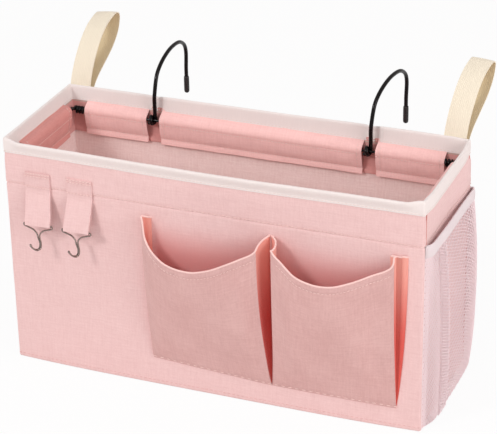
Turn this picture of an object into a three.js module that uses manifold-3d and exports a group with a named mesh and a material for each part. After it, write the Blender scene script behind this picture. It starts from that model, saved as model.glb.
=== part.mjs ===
// Bedside caddy: a boarded fabric box with rail hooks, webbing loops, tabs and pockets.
// Millimetres, +Z up, +Y to the back, origin at the centre of the underside.
import * as THREE from 'three';
import { mergeVertices } from 'three/addons/utils/BufferGeometryUtils.js';
import Module from 'manifold-3d';

const wasm = await Module();
wasm.setup();

// Overall size
const width = 400;
const depth = 137;
const height = 227;

// Layers of the wall, from the outside in
const tape = 0.8;
const fabric = 1.2;
const board = 2;
const lining = 0.8;
const seam_gap = 0.3;
const corner_radius = 4;
const sleeve_fabric = 1;

// Heights on the wall, measured down from the rim
const binding_height = 13.5;
const seam_drop = 39;
const seam_height = height - seam_drop;
const sleeve_flap = 7;
const lining_under_seam = 2;

// Wires
const frame_wire = 2.4;
const frame_corner_radius = 12;
const frame_coil_turns = 3;
const coil_gap = 0.5;
const turning_clearance = 0.3;
const rod_under_binding = 7.5;
const rod_height = height - binding_height - rod_under_binding;
const coil_steps = 24;
const wire_sides = 6;

// Rail hooks
const hook_wire = 3.4;
const hook_reach = 75;
const hook_rise = 57.5;
const hook_place_shares = [-0.2675, 0.27];
const hook_places = hook_place_shares.map((share) => share * width);
const hook_yaws = [0, THREE.MathUtils.degToRad(7)];
const hook_leave_angle = THREE.MathUtils.degToRad(38);
const hook_coil_start = THREE.MathUtils.degToRad(-450);
const hook_bend_radius = 4;
const hook_tip_diameter = 5.2;
const hook_tip_length = 17.5;
const hook_tip_grip = 12;
const hook_tip_drop = 2;
const sleeve_hook_gap = 12;
const sleeve_corner_gap = 12;

// Webbing loops
const webbing_width = 20.8;
const webbing = 1.2;
const loop_reach = 70;
const loop_rise = 64;
const loop_edge_inset = 1.1;
const loop_tail = 22;
const loop_turn_radius = 1.6;

// Tabs and their clips
const tab_width = 25;
const tab_layer = 1.1;
const tabs_from_end = [33.4, 75.6];
const tab_places = tabs_from_end.map((from_end) => from_end - width / 2);
const tab_top_drop = 30;
const tab_top = height - tab_top_drop;
const tab_sewn_length = 19;
const tab_turn_height = tab_top - tab_sewn_length;
const tab_turn_radius = 1.5;
const tab_drop = 27;
const tab_flare = 11.6;
const clip_wire = 1.5;
const clip_bar = 29;
const clip_neck_drop = 9;
const clip_stem_drop = 20;
const clip_hook_radius = 6;
const clip_tip_rise = 2.5;
const clip_pair_gap = 0.9;
const clip_corner_radius = 2;

// Front pockets
const pocket_fabric = 1.2;
const pocket_depth = 26;
const pocket_bottom = 21;
const pocket_top_drop = 56.5;
const pocket_top = height - pocket_top_drop;
const pocket_scoop = 35;
const pocket_taper = 7;
const pocket_fold = 8;
const pocket_edge_shares = [[-0.14, 0.146], [0.15375, 0.44625]];
const pocket_edges = pocket_edge_shares.map((edges) => edges.map((share) => share * width));

// Mesh pocket on the right end
const mesh_strand = 0.8;
const mesh_stand_off = 9;
const mesh_bottom = 4;
const mesh_top_drop = 43;
const mesh_top = height - mesh_top_drop;
const mesh_tape = 11;
const mesh_front_fold = 16;
const mesh_rear_fold = 10;
const mesh_hole_width = 7;
const mesh_hole_height = 8;
const mesh_border = 2.5;
const mesh_strand_width = 3.4;
const mesh_edge_inset = 3.5;

// Outline shares, chosen by hand
const hook_shares = [
  [0, 0.2], [0, 0.38], [0.02, 0.48], [0.05, 0.605], [0.11, 0.755], [0.225, 0.868], [0.39, 0.955],
  [0.59, 1], [0.83, 0.97], [0.975, 0.85], [1.02, 0.72], [1.01, 0.41],
];
const loop_shares = [
  [0.11, 0.45], [0.33, 0.73], [0.57, 0.91], [0.8, 0.99], [0.93, 1], [1, 0.95], [0.99, 0.86],
  [0.93, 0.73], [0.74, 0.55], [0.46, 0.39], [0.23, 0.26], [0.08, 0.12],
];
const scoop_shares = [0.1, 0.55, 0.87, 0.99, 1, 0.93, 0.78, 0.56, 0.34, 0.14];
const bulge_power_share = 0.6;
const depth_share = (rise) => Math.sin((Math.PI / 2) * Math.pow(rise, bulge_power_share));
const row_share = (up) => Math.pow(up, 1 / bulge_power_share);

// Depths of the layers from the outer plane of the binding
const panel_out = tape + seam_gap;
const panel_in = panel_out + fabric;
const board_out = panel_in + seam_gap;
const board_in = board_out + board;
const lining_out = board_in + seam_gap;
const lining_in = lining_out + lining;
const sleeve_edge_out = lining_out;
const sleeve_edge_in = sleeve_edge_out + sleeve_fabric;
const binding_leg_out = sleeve_edge_in + seam_gap;
const rim_thickness = binding_leg_out + tape;
const half_width = width / 2;
const half_depth = depth / 2;
const front_face = -half_depth + panel_out;
const back_face = half_depth - panel_out;
const right_face = half_width - panel_out;
const binding_bottom = height - binding_height;
const inside_top = height - tape - seam_gap;

// The back rod lies where a hook's eye just clears the sleeve's backing
const eye_radius = frame_wire / 2 + turning_clearance + hook_wire / 2;
const eye_outer = eye_radius + hook_wire / 2;
const wire_inset = lining_in + turning_clearance + eye_outer;
const rod_y = half_depth - wire_inset;
const side_wire_x = half_width - wire_inset;
const frame_coil_radius = frame_wire + turning_clearance;
const side_wire_height = rod_height + frame_coil_radius;

// Colours
const pink = { color: 0xebc3c1, roughness: 0.95, metalness: 0 };
const deep_pink = { color: 0xe7bebc, roughness: 0.95, metalness: 0 };
const pocket_pink = { color: 0xdaada9, roughness: 0.95, metalness: 0 };
const off_white = { color: 0xe9dcd7, roughness: 0.9, metalness: 0 };
const lining_white = { color: 0xe0c1bc, roughness: 0.95, metalness: 0 };
const cream = { color: 0xeee4d1, roughness: 0.9, metalness: 0 };
const card = { color: 0xc9c2b4, roughness: 0.9, metalness: 0 };
const black = { color: 0x14100f, roughness: 0.25, metalness: 0.3 };
const black_rubber = { color: 0x1a1516, roughness: 0.6, metalness: 0 };
const chrome = { color: 0xc4c4c6, roughness: 0.15, metalness: 1 };
const net_white = { color: 0xf2e4e8, roughness: 0.8, metalness: 0 };

const caddy = new THREE.Group();

function add(name, geometry, look) {
  const mesh = new THREE.Mesh(geometry, new THREE.MeshStandardMaterial(look));
  mesh.name = name;
  caddy.add(mesh);
  return mesh;
}

function add_box(name, low, high, look) {
  const size = high.map((value, axis) => value - low[axis]);
  const mesh = add(name, new THREE.BoxGeometry(...size), look);
  mesh.position.set(...high.map((value, axis) => (value + low[axis]) / 2));
  return mesh;
}

function to_solid(geometry) {
  const bare = geometry.clone();
  bare.deleteAttribute('normal');
  bare.deleteAttribute('uv');
  const merged = mergeVertices(bare);
  return new wasm.Manifold(new wasm.Mesh({
    numProp: 3,
    vertProperties: merged.attributes.position.array,
    triVerts: new Uint32Array(merged.index.array),
  }));
}

function from_solid(solid) {
  const mesh = solid.getMesh();
  const geometry = new THREE.BufferGeometry();
  geometry.setAttribute('position', new THREE.BufferAttribute(mesh.vertProperties, mesh.numProp));
  geometry.setIndex(new THREE.BufferAttribute(mesh.triVerts, 1));
  geometry.computeVertexNormals();
  return geometry;
}

// A rectangle with round corners, for a shape seen from above
function round_rectangle(half_x, half_y, radius) {
  const shape = new THREE.Shape();
  shape.moveTo(half_x, -half_y + radius);
  shape.lineTo(half_x, half_y - radius);
  shape.absarc(half_x - radius, half_y - radius, radius, 0, Math.PI / 2);
  shape.lineTo(-half_x + radius, half_y);
  shape.absarc(-half_x + radius, half_y - radius, radius, Math.PI / 2, Math.PI);
  shape.lineTo(-half_x, -half_y + radius);
  shape.absarc(-half_x + radius, -half_y + radius, radius, Math.PI, Math.PI * 1.5);
  shape.lineTo(half_x - radius, -half_y);
  shape.absarc(half_x - radius, -half_y + radius, radius, Math.PI * 1.5, Math.PI * 2);
  return shape;
}

// A thick sheet on a surface given by its two parameters
function thick_sheet(surface, columns, rows, thickness) {
  const middle = [];
  for (let i = 0; i <= columns; i += 1) {
    const line = [];
    for (let j = 0; j <= rows; j += 1) {
      line.push(new THREE.Vector3(...surface(i / columns, j / rows)));
    }
    middle.push(line);
  }
  const positions = [];
  const place = (i, j, side) => ((i * (rows + 1)) + j) * 2 + side;
  for (let i = 0; i <= columns; i += 1) {
    for (let j = 0; j <= rows; j += 1) {
      const across = middle[Math.min(i + 1, columns)][j].clone().sub(middle[Math.max(i - 1, 0)][j]);
      const along = middle[i][Math.min(j + 1, rows)].clone().sub(middle[i][Math.max(j - 1, 0)]);
      const offset = across.cross(along).normalize().multiplyScalar(thickness / 2);
      positions.push(...middle[i][j].clone().add(offset).toArray());
      positions.push(...middle[i][j].clone().sub(offset).toArray());
    }
  }
  const faces = [];
  const quad = (a, b, c, d) => faces.push(a, b, c, a, c, d);
  for (let i = 0; i < columns; i += 1) {
    for (let j = 0; j < rows; j += 1) {
      quad(place(i, j, 0), place(i + 1, j, 0), place(i + 1, j + 1, 0), place(i, j + 1, 0));
      quad(place(i, j, 1), place(i, j + 1, 1), place(i + 1, j + 1, 1), place(i + 1, j, 1));
    }
    quad(place(i, 0, 0), place(i, 0, 1), place(i + 1, 0, 1), place(i + 1, 0, 0));
    quad(place(i, rows, 0), place(i + 1, rows, 0), place(i + 1, rows, 1), place(i, rows, 1));
  }
  for (let j = 0; j < rows; j += 1) {
    quad(place(0, j, 0), place(0, j + 1, 0), place(0, j + 1, 1), place(0, j, 1));
    quad(place(columns, j, 0), place(columns, j, 1), place(columns, j + 1, 1), place(columns, j + 1, 0));
  }
  const geometry = new THREE.BufferGeometry();
  geometry.setAttribute('position', new THREE.BufferAttribute(new Float32Array(positions), 3));
  geometry.setIndex(faces);
  geometry.computeVertexNormals();
  return geometry;
}

// A route whose steps fall on its own points
class PointRoute extends THREE.Curve {
  constructor(points) {
    super();
    this.points = points;
  }

  getPoint(share, target = new THREE.Vector3()) {
    const place = share * (this.points.length - 1);
    const start = Math.min(Math.floor(place), this.points.length - 2);
    return target.lerpVectors(this.points[start], this.points[start + 1], place - start);
  }

  getPointAt(share, target) {
    return this.getPoint(share, target);
  }

  getTangentAt(share) {
    const place = Math.round(share * (this.points.length - 1));
    const before = this.points[Math.max(place - 1, 0)];
    const after = this.points[Math.min(place + 1, this.points.length - 1)];
    return after.clone().sub(before).normalize();
  }
}

function wire_section(diameter) {
  const corners = [];
  for (let side = 0; side < wire_sides; side += 1) {
    const angle = (side / wire_sides) * Math.PI * 2;
    corners.push(new THREE.Vector2(Math.cos(angle), Math.sin(angle)).multiplyScalar(diameter / 2));
  }
  return new THREE.Shape(corners);
}

function wire_along(points, diameter) {
  return new THREE.ExtrudeGeometry(wire_section(diameter), {
    steps: points.length - 1,
    extrudePath: new PointRoute(points),
    bevelEnabled: false,
  });
}

// Each corner of a route is replaced by a short curve
function rounded(points, radius, steps) {
  const route = [points[0]];
  for (let place = 1; place < points.length - 1; place += 1) {
    const corner = points[place];
    const before = points[place - 1].clone().sub(corner);
    const after = points[place + 1].clone().sub(corner);
    const reach = Math.min(radius, before.length() / 2, after.length() / 2);
    const from = corner.clone().add(before.setLength(reach));
    const to = corner.clone().add(after.setLength(reach));
    route.push(...new THREE.QuadraticBezierCurve3(from, corner, to).getPoints(steps));
  }
  route.push(points[points.length - 1]);
  return route;
}

// The least gap of a wound wire to itself, on points more than half a turn apart
function print_least_gap(name, points, diameter, apart) {
  let least = Infinity;
  for (let i = 0; i < points.length; i += 1) {
    for (let j = i + apart; j < points.length; j += 1) {
      least = Math.min(least, points[i].distanceTo(points[j]) - diameter);
    }
  }
  console.log(`${name}: least gap of the winding to itself ${least.toFixed(2)} mm`);
}

// Outer fabric panels: front and back turn round the corners to the seams
function wrapped_panel(turn) {
  const outer = corner_radius;
  const inner = corner_radius - fabric;
  const centre_x = right_face - corner_radius;
  const centre_y = front_face + corner_radius;
  const plan = new THREE.Shape();
  plan.moveTo(-centre_x - outer, centre_y);
  plan.absarc(-centre_x, centre_y, outer, Math.PI, Math.PI * 1.5);
  plan.absarc(centre_x, centre_y, outer, Math.PI * 1.5, Math.PI * 2);
  plan.lineTo(centre_x + inner, centre_y);
  plan.absarc(centre_x, centre_y, inner, Math.PI * 2, Math.PI * 1.5, true);
  plan.absarc(-centre_x, centre_y, inner, Math.PI * 1.5, Math.PI, true);
  const panel = new THREE.ExtrudeGeometry(plan, {
    depth: inside_top,
    bevelEnabled: false,
    curveSegments: 6,
  });
  return panel.rotateZ(turn);
}

function outer_panels() {
  add('front_panel', wrapped_panel(0), pink);
  add('back_panel', wrapped_panel(Math.PI), pink);
  const end = -front_face - corner_radius - seam_gap;
  const outside = right_face;
  const inside = right_face - fabric;
  add_box('right_panel', [inside, -end, 0], [outside, end, inside_top], pink);
  add_box('left_panel', [-outside, -end, 0], [-inside, end, inside_top], pink);
  const base_x = inside - seam_gap;
  const base_y = back_face - fabric - seam_gap;
  const cut = corner_radius - fabric;
  const base = new THREE.ExtrudeGeometry(round_rectangle(base_x, base_y, cut), {
    depth: fabric,
    bevelEnabled: false,
    curveSegments: 3,
  });
  add('base_panel', base, deep_pink);
}

// Stiffening boards
function stiffeners() {
  const low = fabric + seam_gap;
  const long = right_face - corner_radius;
  const short = back_face - corner_radius - seam_gap;
  const out_y = half_depth - board_out;
  const in_y = half_depth - board_in;
  const out_x = half_width - board_out;
  const in_x = half_width - board_in;
  add_box('front_board', [-long, -out_y, low], [long, -in_y, inside_top], card);
  add_box('back_board', [-long, in_y, low], [long, out_y, inside_top], card);
  add_box('right_board', [in_x, -short, low], [out_x, short, inside_top], card);
  add_box('left_board', [-out_x, -short, low], [-in_x, short, inside_top], card);
  const inner_x = long - seam_gap;
  const inner_y = in_y - seam_gap;
  add_box('base_board', [-inner_x, -inner_y, low], [inner_x, inner_y, low + board], card);
}

// One thin layer on the inside of each wall: lining below the seam, pink backing above it
function inner_layer(names, low, high, look) {
  const out_y = half_depth - lining_out;
  const in_y = half_depth - lining_in;
  const out_x = half_width - lining_out;
  const in_x = half_width - lining_in;
  const long = in_x - seam_gap;
  add_box(names.front, [-long, -out_y, low], [long, -in_y, high], look);
  add_box(names.back, [-long, in_y, low], [long, out_y, high], look);
  add_box(names.right, [in_x, -out_y, low], [out_x, out_y, high], look);
  add_box(names.left, [-out_x, -out_y, low], [-in_x, out_y, high], look);
}

function linings() {
  const low = fabric + seam_gap + board + seam_gap;
  const high = seam_height - lining_under_seam;
  inner_layer({
    front: 'front_lining', back: 'back_lining', right: 'right_lining', left: 'left_lining',
  }, low, high, lining_white);
  const inner_x = half_width - lining_in - seam_gap;
  const inner_y = half_depth - lining_in - seam_gap;
  add_box('base_lining', [-inner_x, -inner_y, low], [inner_x, inner_y, low + lining], lining_white);
  const backing_top = binding_bottom - sleeve_fabric - 4 * seam_gap;
  inner_layer({
    front: 'sleeve_backing_front',
    back: 'sleeve_backing_back',
    right: 'sleeve_backing_right',
    left: 'sleeve_backing_left',
  }, high + seam_gap, backing_top, pink);
}

// Binding tape folded over the edge of the wall
function binding() {
  const overrun = binding_height;
  const ring = (out, inside, low, high) => {
    const outer_radius = corner_radius + panel_out - out;
    const plan = round_rectangle(half_width - out, half_depth - out, outer_radius);
    const inner_radius = Math.max(outer_radius + out - inside, tape);
    plan.holes.push(round_rectangle(half_width - inside, half_depth - inside, inner_radius));
    const solid = new THREE.ExtrudeGeometry(plan, {
      depth: high - low,
      bevelEnabled: false,
      curveSegments: 6,
    });
    return to_solid(solid.translate(0, 0, low));
  };
  const folded = ring(0, rim_thickness, binding_bottom, height);
  const channel = ring(tape, rim_thickness - tape, binding_bottom - overrun, height - tape);
  add('rim_binding', from_solid(folded.subtract(channel)), off_white);
}

// Wire frame: one wire along the front and sides, wound on the rod at the back
function frame_wires() {
  const rod = new THREE.CylinderGeometry(frame_wire / 2, frame_wire / 2, 2 * rod_half_length(), 12);
  const rod_mesh = add('frame_back_rod', rod.rotateZ(Math.PI / 2), black);
  rod_mesh.position.set(0, rod_y, rod_height);
  const pitch = frame_wire + coil_gap;
  const coil = (side) => {
    const points = [];
    const count = frame_coil_turns * coil_steps;
    for (let step = 0; step <= count; step += 1) {
      const turned = step / coil_steps;
      const angle = Math.PI / 2 - turned * Math.PI * 2;
      const x = side * (side_wire_x - turned * pitch);
      const y = rod_y + frame_coil_radius * Math.cos(angle);
      const z = rod_height + frame_coil_radius * Math.sin(angle);
      points.push(new THREE.Vector3(x, y, z));
    }
    return points;
  };
  const front = [
    new THREE.Vector3(-side_wire_x, rod_y - frame_coil_radius, side_wire_height),
    new THREE.Vector3(-side_wire_x, -rod_y, side_wire_height),
    new THREE.Vector3(side_wire_x, -rod_y, side_wire_height),
    new THREE.Vector3(side_wire_x, rod_y - frame_coil_radius, side_wire_height),
  ];
  const left_coil = coil(-1);
  const route = [...left_coil.slice().reverse(), ...rounded(front, frame_corner_radius, 6), ...coil(1)];
  print_least_gap('frame_side_wire', left_coil, frame_wire, coil_steps / 2);
  add('frame_side_wire', wire_along(route, frame_wire), black);
}

function rod_half_length() {
  return half_width - lining_in - 2 * seam_gap;
}

// Sleeve over the wire, sewn under the binding and through the wall below
function sleeve_outline(wire_height) {
  const radius = frame_wire / 2;
  const clear = radius + seam_gap;
  const below = seam_height - sleeve_flap;
  const flap_out = lining_in + seam_gap;
  const bulge_out = wire_inset + clear;
  const shoulder = wire_height + clear;
  const under_binding = binding_bottom - sleeve_fabric;
  const outline = [
    [flap_out, below], [flap_out, seam_height], [bulge_out, wire_height - radius],
    [bulge_out, wire_height + radius * 0.8], [wire_inset, shoulder],
    [sleeve_edge_out, under_binding], [sleeve_edge_out, inside_top],
    [sleeve_edge_in, inside_top], [sleeve_edge_in, under_binding + seam_gap],
    [wire_inset + radius / 2, shoulder + sleeve_fabric],
    [bulge_out + sleeve_fabric, wire_height + radius], [bulge_out + sleeve_fabric, wire_height - radius],
    [flap_out + sleeve_fabric, seam_height], [flap_out + sleeve_fabric, below],
  ];
  return new THREE.Shape(outline.map(([x, y]) => new THREE.Vector2(x, y)));
}

// A strip along one wall: the section is drawn by depth and height, the run along the wall
function sleeve(name, wire_height, from, to, turn, reach) {
  const strip = new THREE.ExtrudeGeometry(sleeve_outline(wire_height), {
    depth: to - from,
    bevelEnabled: false,
  });
  const section_to_wall = new THREE.Matrix4().makeBasis(
    new THREE.Vector3(0, 1, 0),
    new THREE.Vector3(0, 0, 1),
    new THREE.Vector3(1, 0, 0),
  );
  strip.translate(0, 0, from);
  strip.applyMatrix4(section_to_wall);
  strip.translate(0, -reach, 0);
  add(name, strip.rotateZ(turn), deep_pink);
}

function sleeves() {
  const quarter = Math.PI / 2;
  const long = side_wire_x - sleeve_corner_gap;
  const short = rod_y - sleeve_corner_gap;
  const half_gap = sleeve_hook_gap / 2;
  const [left_hook, right_hook] = hook_places;
  sleeve('sleeve_front', side_wire_height, -long, long, 0, half_depth);
  sleeve('sleeve_right', side_wire_height, -short, short, quarter, half_width);
  sleeve('sleeve_left', side_wire_height, -short, short, -quarter, half_width);
  const back = (name, from, to) => sleeve(name, rod_height, -to, -from, Math.PI, half_depth);
  back('sleeve_back_left', -long, left_hook - half_gap);
  back('sleeve_back_middle', left_hook + half_gap, right_hook - half_gap);
  back('sleeve_back_right', right_hook + half_gap, long);
}

// Rail hooks: an eye wound on the back rod, a stem, and an arch to the capped tip
function hook_route(place, yaw) {
  const pitch = hook_wire + coil_gap;
  const turned = (hook_leave_angle - hook_coil_start) / (Math.PI * 2);
  const eye = [];
  const count = Math.round(turned * coil_steps);
  for (let step = 0; step <= count; step += 1) {
    const share = step / count;
    const angle = hook_coil_start + share * turned * Math.PI * 2;
    const x = place + (share - 0.5) * turned * pitch;
    const y = rod_y + eye_radius * Math.cos(angle);
    const z = rod_height + eye_radius * Math.sin(angle);
    eye.push(new THREE.Vector3(x, y, z));
  }
  const last = eye[eye.length - 1];
  const stem = [];
  const bend_steps = 4;
  for (let step = 1; step <= bend_steps; step += 1) {
    const angle = hook_leave_angle * (1 - step / bend_steps);
    const forward = hook_bend_radius * (Math.cos(angle) - Math.cos(hook_leave_angle));
    const up = hook_bend_radius * (Math.sin(hook_leave_angle) - Math.sin(angle));
    stem.push(new THREE.Vector3(last.x, last.y - forward, last.z + up));
  }
  const stem_top = stem[stem.length - 1];
  const yawed = (reach, rise) => new THREE.Vector3(
    stem_top.x + Math.sin(yaw) * reach,
    stem_top.y + Math.cos(yaw) * reach,
    rod_height + rise,
  );
  const arch_points = [stem_top, ...hook_shares.map(([y, z]) => yawed(y * hook_reach, z * hook_rise))];
  const arch = new THREE.CatmullRomCurve3(arch_points, false, 'centripetal').getPoints(32);
  const end = arch[arch.length - 1];
  const leg_end = end.clone().setZ(rod_height - hook_tip_drop + hook_tip_length - hook_tip_grip);
  return { eye, points: [...eye, ...stem, ...arch.slice(1), leg_end] };
}

function hook_tip(end) {
  const bore = hook_wire / 2 + seam_gap;
  const outer = hook_tip_diameter / 2;
  const rounding = outer / 2;
  const floor = hook_tip_length - hook_tip_grip;
  const profile = [
    [0, 0], [outer - rounding, 0], [outer, rounding], [outer, hook_tip_length],
    [bore, hook_tip_length], [bore, floor - seam_gap], [0, floor - seam_gap],
  ];
  const cap = new THREE.LatheGeometry(profile.map(([x, y]) => new THREE.Vector2(x, y)), 12);
  cap.rotateX(Math.PI / 2);
  return cap.translate(end.x, end.y, end.z - floor);
}

function hooks() {
  ['left', 'right'].forEach((side, place) => {
    const route = hook_route(hook_places[place], hook_yaws[place]);
    print_least_gap(`hook_${side}`, route.eye, hook_wire, coil_steps / 2);
    add(`hook_${side}`, wire_along(route.points, hook_wire), black);
    const end = route.points[route.points.length - 1];
    add(`hook_tip_${side}`, hook_tip(end), black_rubber);
  });
}

// Webbing loops behind the back corners, with their sewn ends below the binding
function loops() {
  const centre_x = half_width - loop_edge_inset - webbing_width / 2;
  const near_y = half_depth + 2 * seam_gap + webbing / 2;
  const far_y = near_y + webbing + seam_gap;
  const turn_height = binding_bottom;
  const start = turn_height + seam_gap;
  const points = [
    [near_y, start], [near_y, (start + height) / 2], [near_y, height],
    ...loop_shares.map(([y, z]) => [near_y + y * loop_reach, turn_height + z * loop_rise]),
    [far_y, start],
  ];
  const curve = new THREE.CatmullRomCurve3(
    points.map(([y, z]) => new THREE.Vector3(0, y, z)),
    false,
    'centripetal',
  );
  const strap = (x) => (along, across) => {
    const place = curve.getPointAt(along);
    return [x + (across - 0.5) * webbing_width, place.y, place.z];
  };
  ['left', 'right'].forEach((side, place) => {
    const x = place === 0 ? -centre_x : centre_x;
    add(`loop_${side}`, thick_sheet(strap(x), 40, 1, webbing), cream);
    const low_z = turn_height - loop_turn_radius - loop_tail;
    const high_z = turn_height - loop_turn_radius;
    const low = [x - webbing_width / 2, back_face + seam_gap, low_z];
    const high = [x + webbing_width / 2, back_face + seam_gap + 2 * webbing, high_z];
    add_box(`loop_${side}_end`, low, high, cream);
  });
}

// Tabs: a sewn top, and a hanging fold that turns at the lower stitch row
function tab_outline() {
  const clear = clip_wire / 2 + seam_gap;
  const radius = clear + tab_layer;
  const length = Math.hypot(tab_drop, tab_flare);
  const top = -tab_turn_radius + seam_gap * 2;
  const outline = new THREE.Shape();
  outline.moveTo(tab_layer, top);
  outline.lineTo(-tab_layer, top);
  outline.lineTo(-radius, -length + radius);
  outline.absarc(0, -length, radius, Math.PI, Math.PI * 2);
  outline.lineTo(radius, -length + radius);
  const eye = new THREE.Path();
  eye.absarc(0, -length, clear, 0, Math.PI * 2);
  outline.holes.push(eye);
  return outline;
}

function tabs() {
  const turn_y = front_face - tab_turn_radius;
  const section_to_side = new THREE.Matrix4().makeBasis(
    new THREE.Vector3(0, 1, 0),
    new THREE.Vector3(0, 0, 1),
    new THREE.Vector3(1, 0, 0),
  );
  ['left', 'right'].forEach((side, place) => {
    const x = tab_places[place];
    const fold = new THREE.ExtrudeGeometry(tab_outline(), {
      depth: tab_width,
      bevelEnabled: false,
      curveSegments: 8,
    });
    fold.translate(0, 0, -tab_width / 2);
    fold.applyMatrix4(section_to_side);
    const hanging = add(`tab_${side}`, fold, pink);
    hanging.position.set(x, turn_y, tab_turn_height);
    hanging.rotation.x = -Math.atan2(tab_flare, tab_drop);
    const low = [x - tab_width / 2, front_face - seam_gap - 2 * tab_layer, tab_turn_height + tab_turn_radius];
    const high = [x + tab_width / 2, front_face - seam_gap, tab_top];
    add_box(`tab_${side}_top`, low, high, pink);
  });
}

// Wire clips: a bar in the tab's fold, two arms, and a doubled wire hook
function clip_half() {
  const pair = (clip_wire + clip_pair_gap) / 2;
  const half_bar = clip_bar / 2;
  const stem_end = -clip_stem_drop;
  const arms = rounded([
    new THREE.Vector3(seam_gap, 0, 0),
    new THREE.Vector3(half_bar, 0, 0),
    new THREE.Vector3(half_bar, 0, -clip_corner_radius),
    new THREE.Vector3(pair, 0, -clip_neck_drop),
    new THREE.Vector3(pair, 0, stem_end),
  ], clip_corner_radius, 4);
  const curl = [];
  const curl_steps = 10;
  for (let step = 1; step <= curl_steps; step += 1) {
    const angle = (step / curl_steps) * Math.PI;
    const y = -clip_hook_radius * (1 - Math.cos(angle));
    const z = stem_end - clip_hook_radius * Math.sin(angle);
    curl.push(new THREE.Vector3(pair, y, z));
  }
  const tip = curl[curl.length - 1].clone();
  tip.z += clip_tip_rise;
  const turn = [];
  const turn_steps = 3;
  for (let step = 0; step <= turn_steps; step += 1) {
    const angle = (step / turn_steps) * (Math.PI / 2);
    turn.push(new THREE.Vector3(pair * Math.cos(angle), tip.y, tip.z + pair * Math.sin(angle)));
  }
  return [...arms, ...curl, ...turn];
}

function clips() {
  const right_half = clip_half();
  const left_half = right_half.map((point) => new THREE.Vector3(-point.x, point.y, point.z));
  const route = [...right_half, ...left_half.reverse().slice(1)];
  ['left', 'right'].forEach((side, place) => {
    const mesh = add(`clip_${side}`, wire_along(route, clip_wire), chrome);
    const turn_y = front_face - tab_turn_radius;
    mesh.position.set(tab_places[place], turn_y - tab_flare, tab_turn_height - tab_drop);
  });
}

// Front pockets: a bulging face with a scooped rim, between two folded gussets
function share_at(shares, place) {
  const spot = place * (shares.length - 1);
  const start = Math.min(Math.floor(spot), shares.length - 2);
  return THREE.MathUtils.lerp(shares[start], shares[start + 1], spot - start);
}

function pockets() {
  const sewn_y = front_face - seam_gap - pocket_fabric / 2;
  const rise_to_corner = pocket_top - pocket_bottom;
  const rim_at = (across) => pocket_top - pocket_scoop * share_at(scoop_shares, across);
  const out_at = (z) => pocket_depth * depth_share((z - pocket_bottom) / rise_to_corner);
  ['left', 'right'].forEach((side, place) => {
    const [low_x, high_x] = pocket_edges[place];
    const middle = (low_x + high_x) / 2;
    const half_face = (high_x - low_x) / 2;
    const face = (across, up) => {
      const z = pocket_bottom + row_share(up) * (rim_at(across) - pocket_bottom);
      const taper = (pocket_taper / 2) * depth_share((z - pocket_bottom) / rise_to_corner);
      return [middle + (2 * across - 1) * (half_face - taper), sewn_y - out_at(z), z];
    };
    add(`pocket_${side}_face`, thick_sheet(face, 12, 10, pocket_fabric), pocket_pink);
    [-1, 1].forEach((hand) => {
      const edge = hand < 0 ? low_x : high_x;
      const lowest = pocket_bottom + pocket_fabric * 4;
      const behind_face = pocket_fabric / 2 + 3 * seam_gap;
      const gusset = (out, up) => {
        const top = THREE.MathUtils.lerp(pocket_top, rim_at(hand < 0 ? 0 : 1), out);
        const z = lowest + row_share(up) * (top - lowest);
        const share = depth_share((z - pocket_bottom) / rise_to_corner);
        const fold = pocket_fold * share * (1 - Math.abs(2 * out - 1));
        const taper = (pocket_taper / 2) * share * out;
        const x = edge - hand * (pocket_fabric / 2 + fold + taper);
        return [x, sewn_y - out * (out_at(z) - behind_face), z];
      };
      const name = `pocket_${side}_gusset_${hand < 0 ? 'left' : 'right'}`;
      add(name, thick_sheet(gusset, 2, 8, pocket_fabric), pocket_pink);
    });
  });
}

// Mesh pocket: three flat nets under one tape, round the right end
function net(from, to) {
  const run = to.clone().sub(from);
  const length = run.length() - 2 * seam_gap;
  const tall = mesh_top - mesh_tape - seam_gap - mesh_bottom;
  const pitch_across = mesh_hole_width + mesh_strand_width;
  const pitch_up = mesh_hole_height + mesh_strand_width;
  const columns = Math.max(1, Math.floor((length - mesh_border) / pitch_across));
  const rows = Math.floor((tall - mesh_border) / pitch_up);
  const step_across = (length - 2 * mesh_border) / columns;
  const step_up = (tall - 2 * mesh_border) / rows;
  const half_across = Math.min(mesh_hole_width, step_across - mesh_border) / 2;
  const half_up = mesh_hole_height / 2;
  const sheet = new THREE.Shape([
    new THREE.Vector2(0, 0), new THREE.Vector2(length, 0),
    new THREE.Vector2(length, tall), new THREE.Vector2(0, tall),
  ]);
  for (let column = 0; column < columns; column += 1) {
    for (let row = 0; row < rows; row += 1) {
      const x = mesh_border + (column + 0.5) * step_across;
      const y = mesh_border + (row + 0.5) * step_up;
      sheet.holes.push(new THREE.Path([
        new THREE.Vector2(x - half_across, y), new THREE.Vector2(x, y - half_up),
        new THREE.Vector2(x + half_across, y), new THREE.Vector2(x, y + half_up),
      ]));
    }
  }
  const solid = new THREE.ExtrudeGeometry(sheet, { depth: mesh_strand, bevelEnabled: false });
  solid.translate(seam_gap, 0, 0);
  solid.rotateX(Math.PI / 2);
  solid.rotateZ(run.angle());
  return solid.translate(from.x, from.y, mesh_bottom);
}

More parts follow.
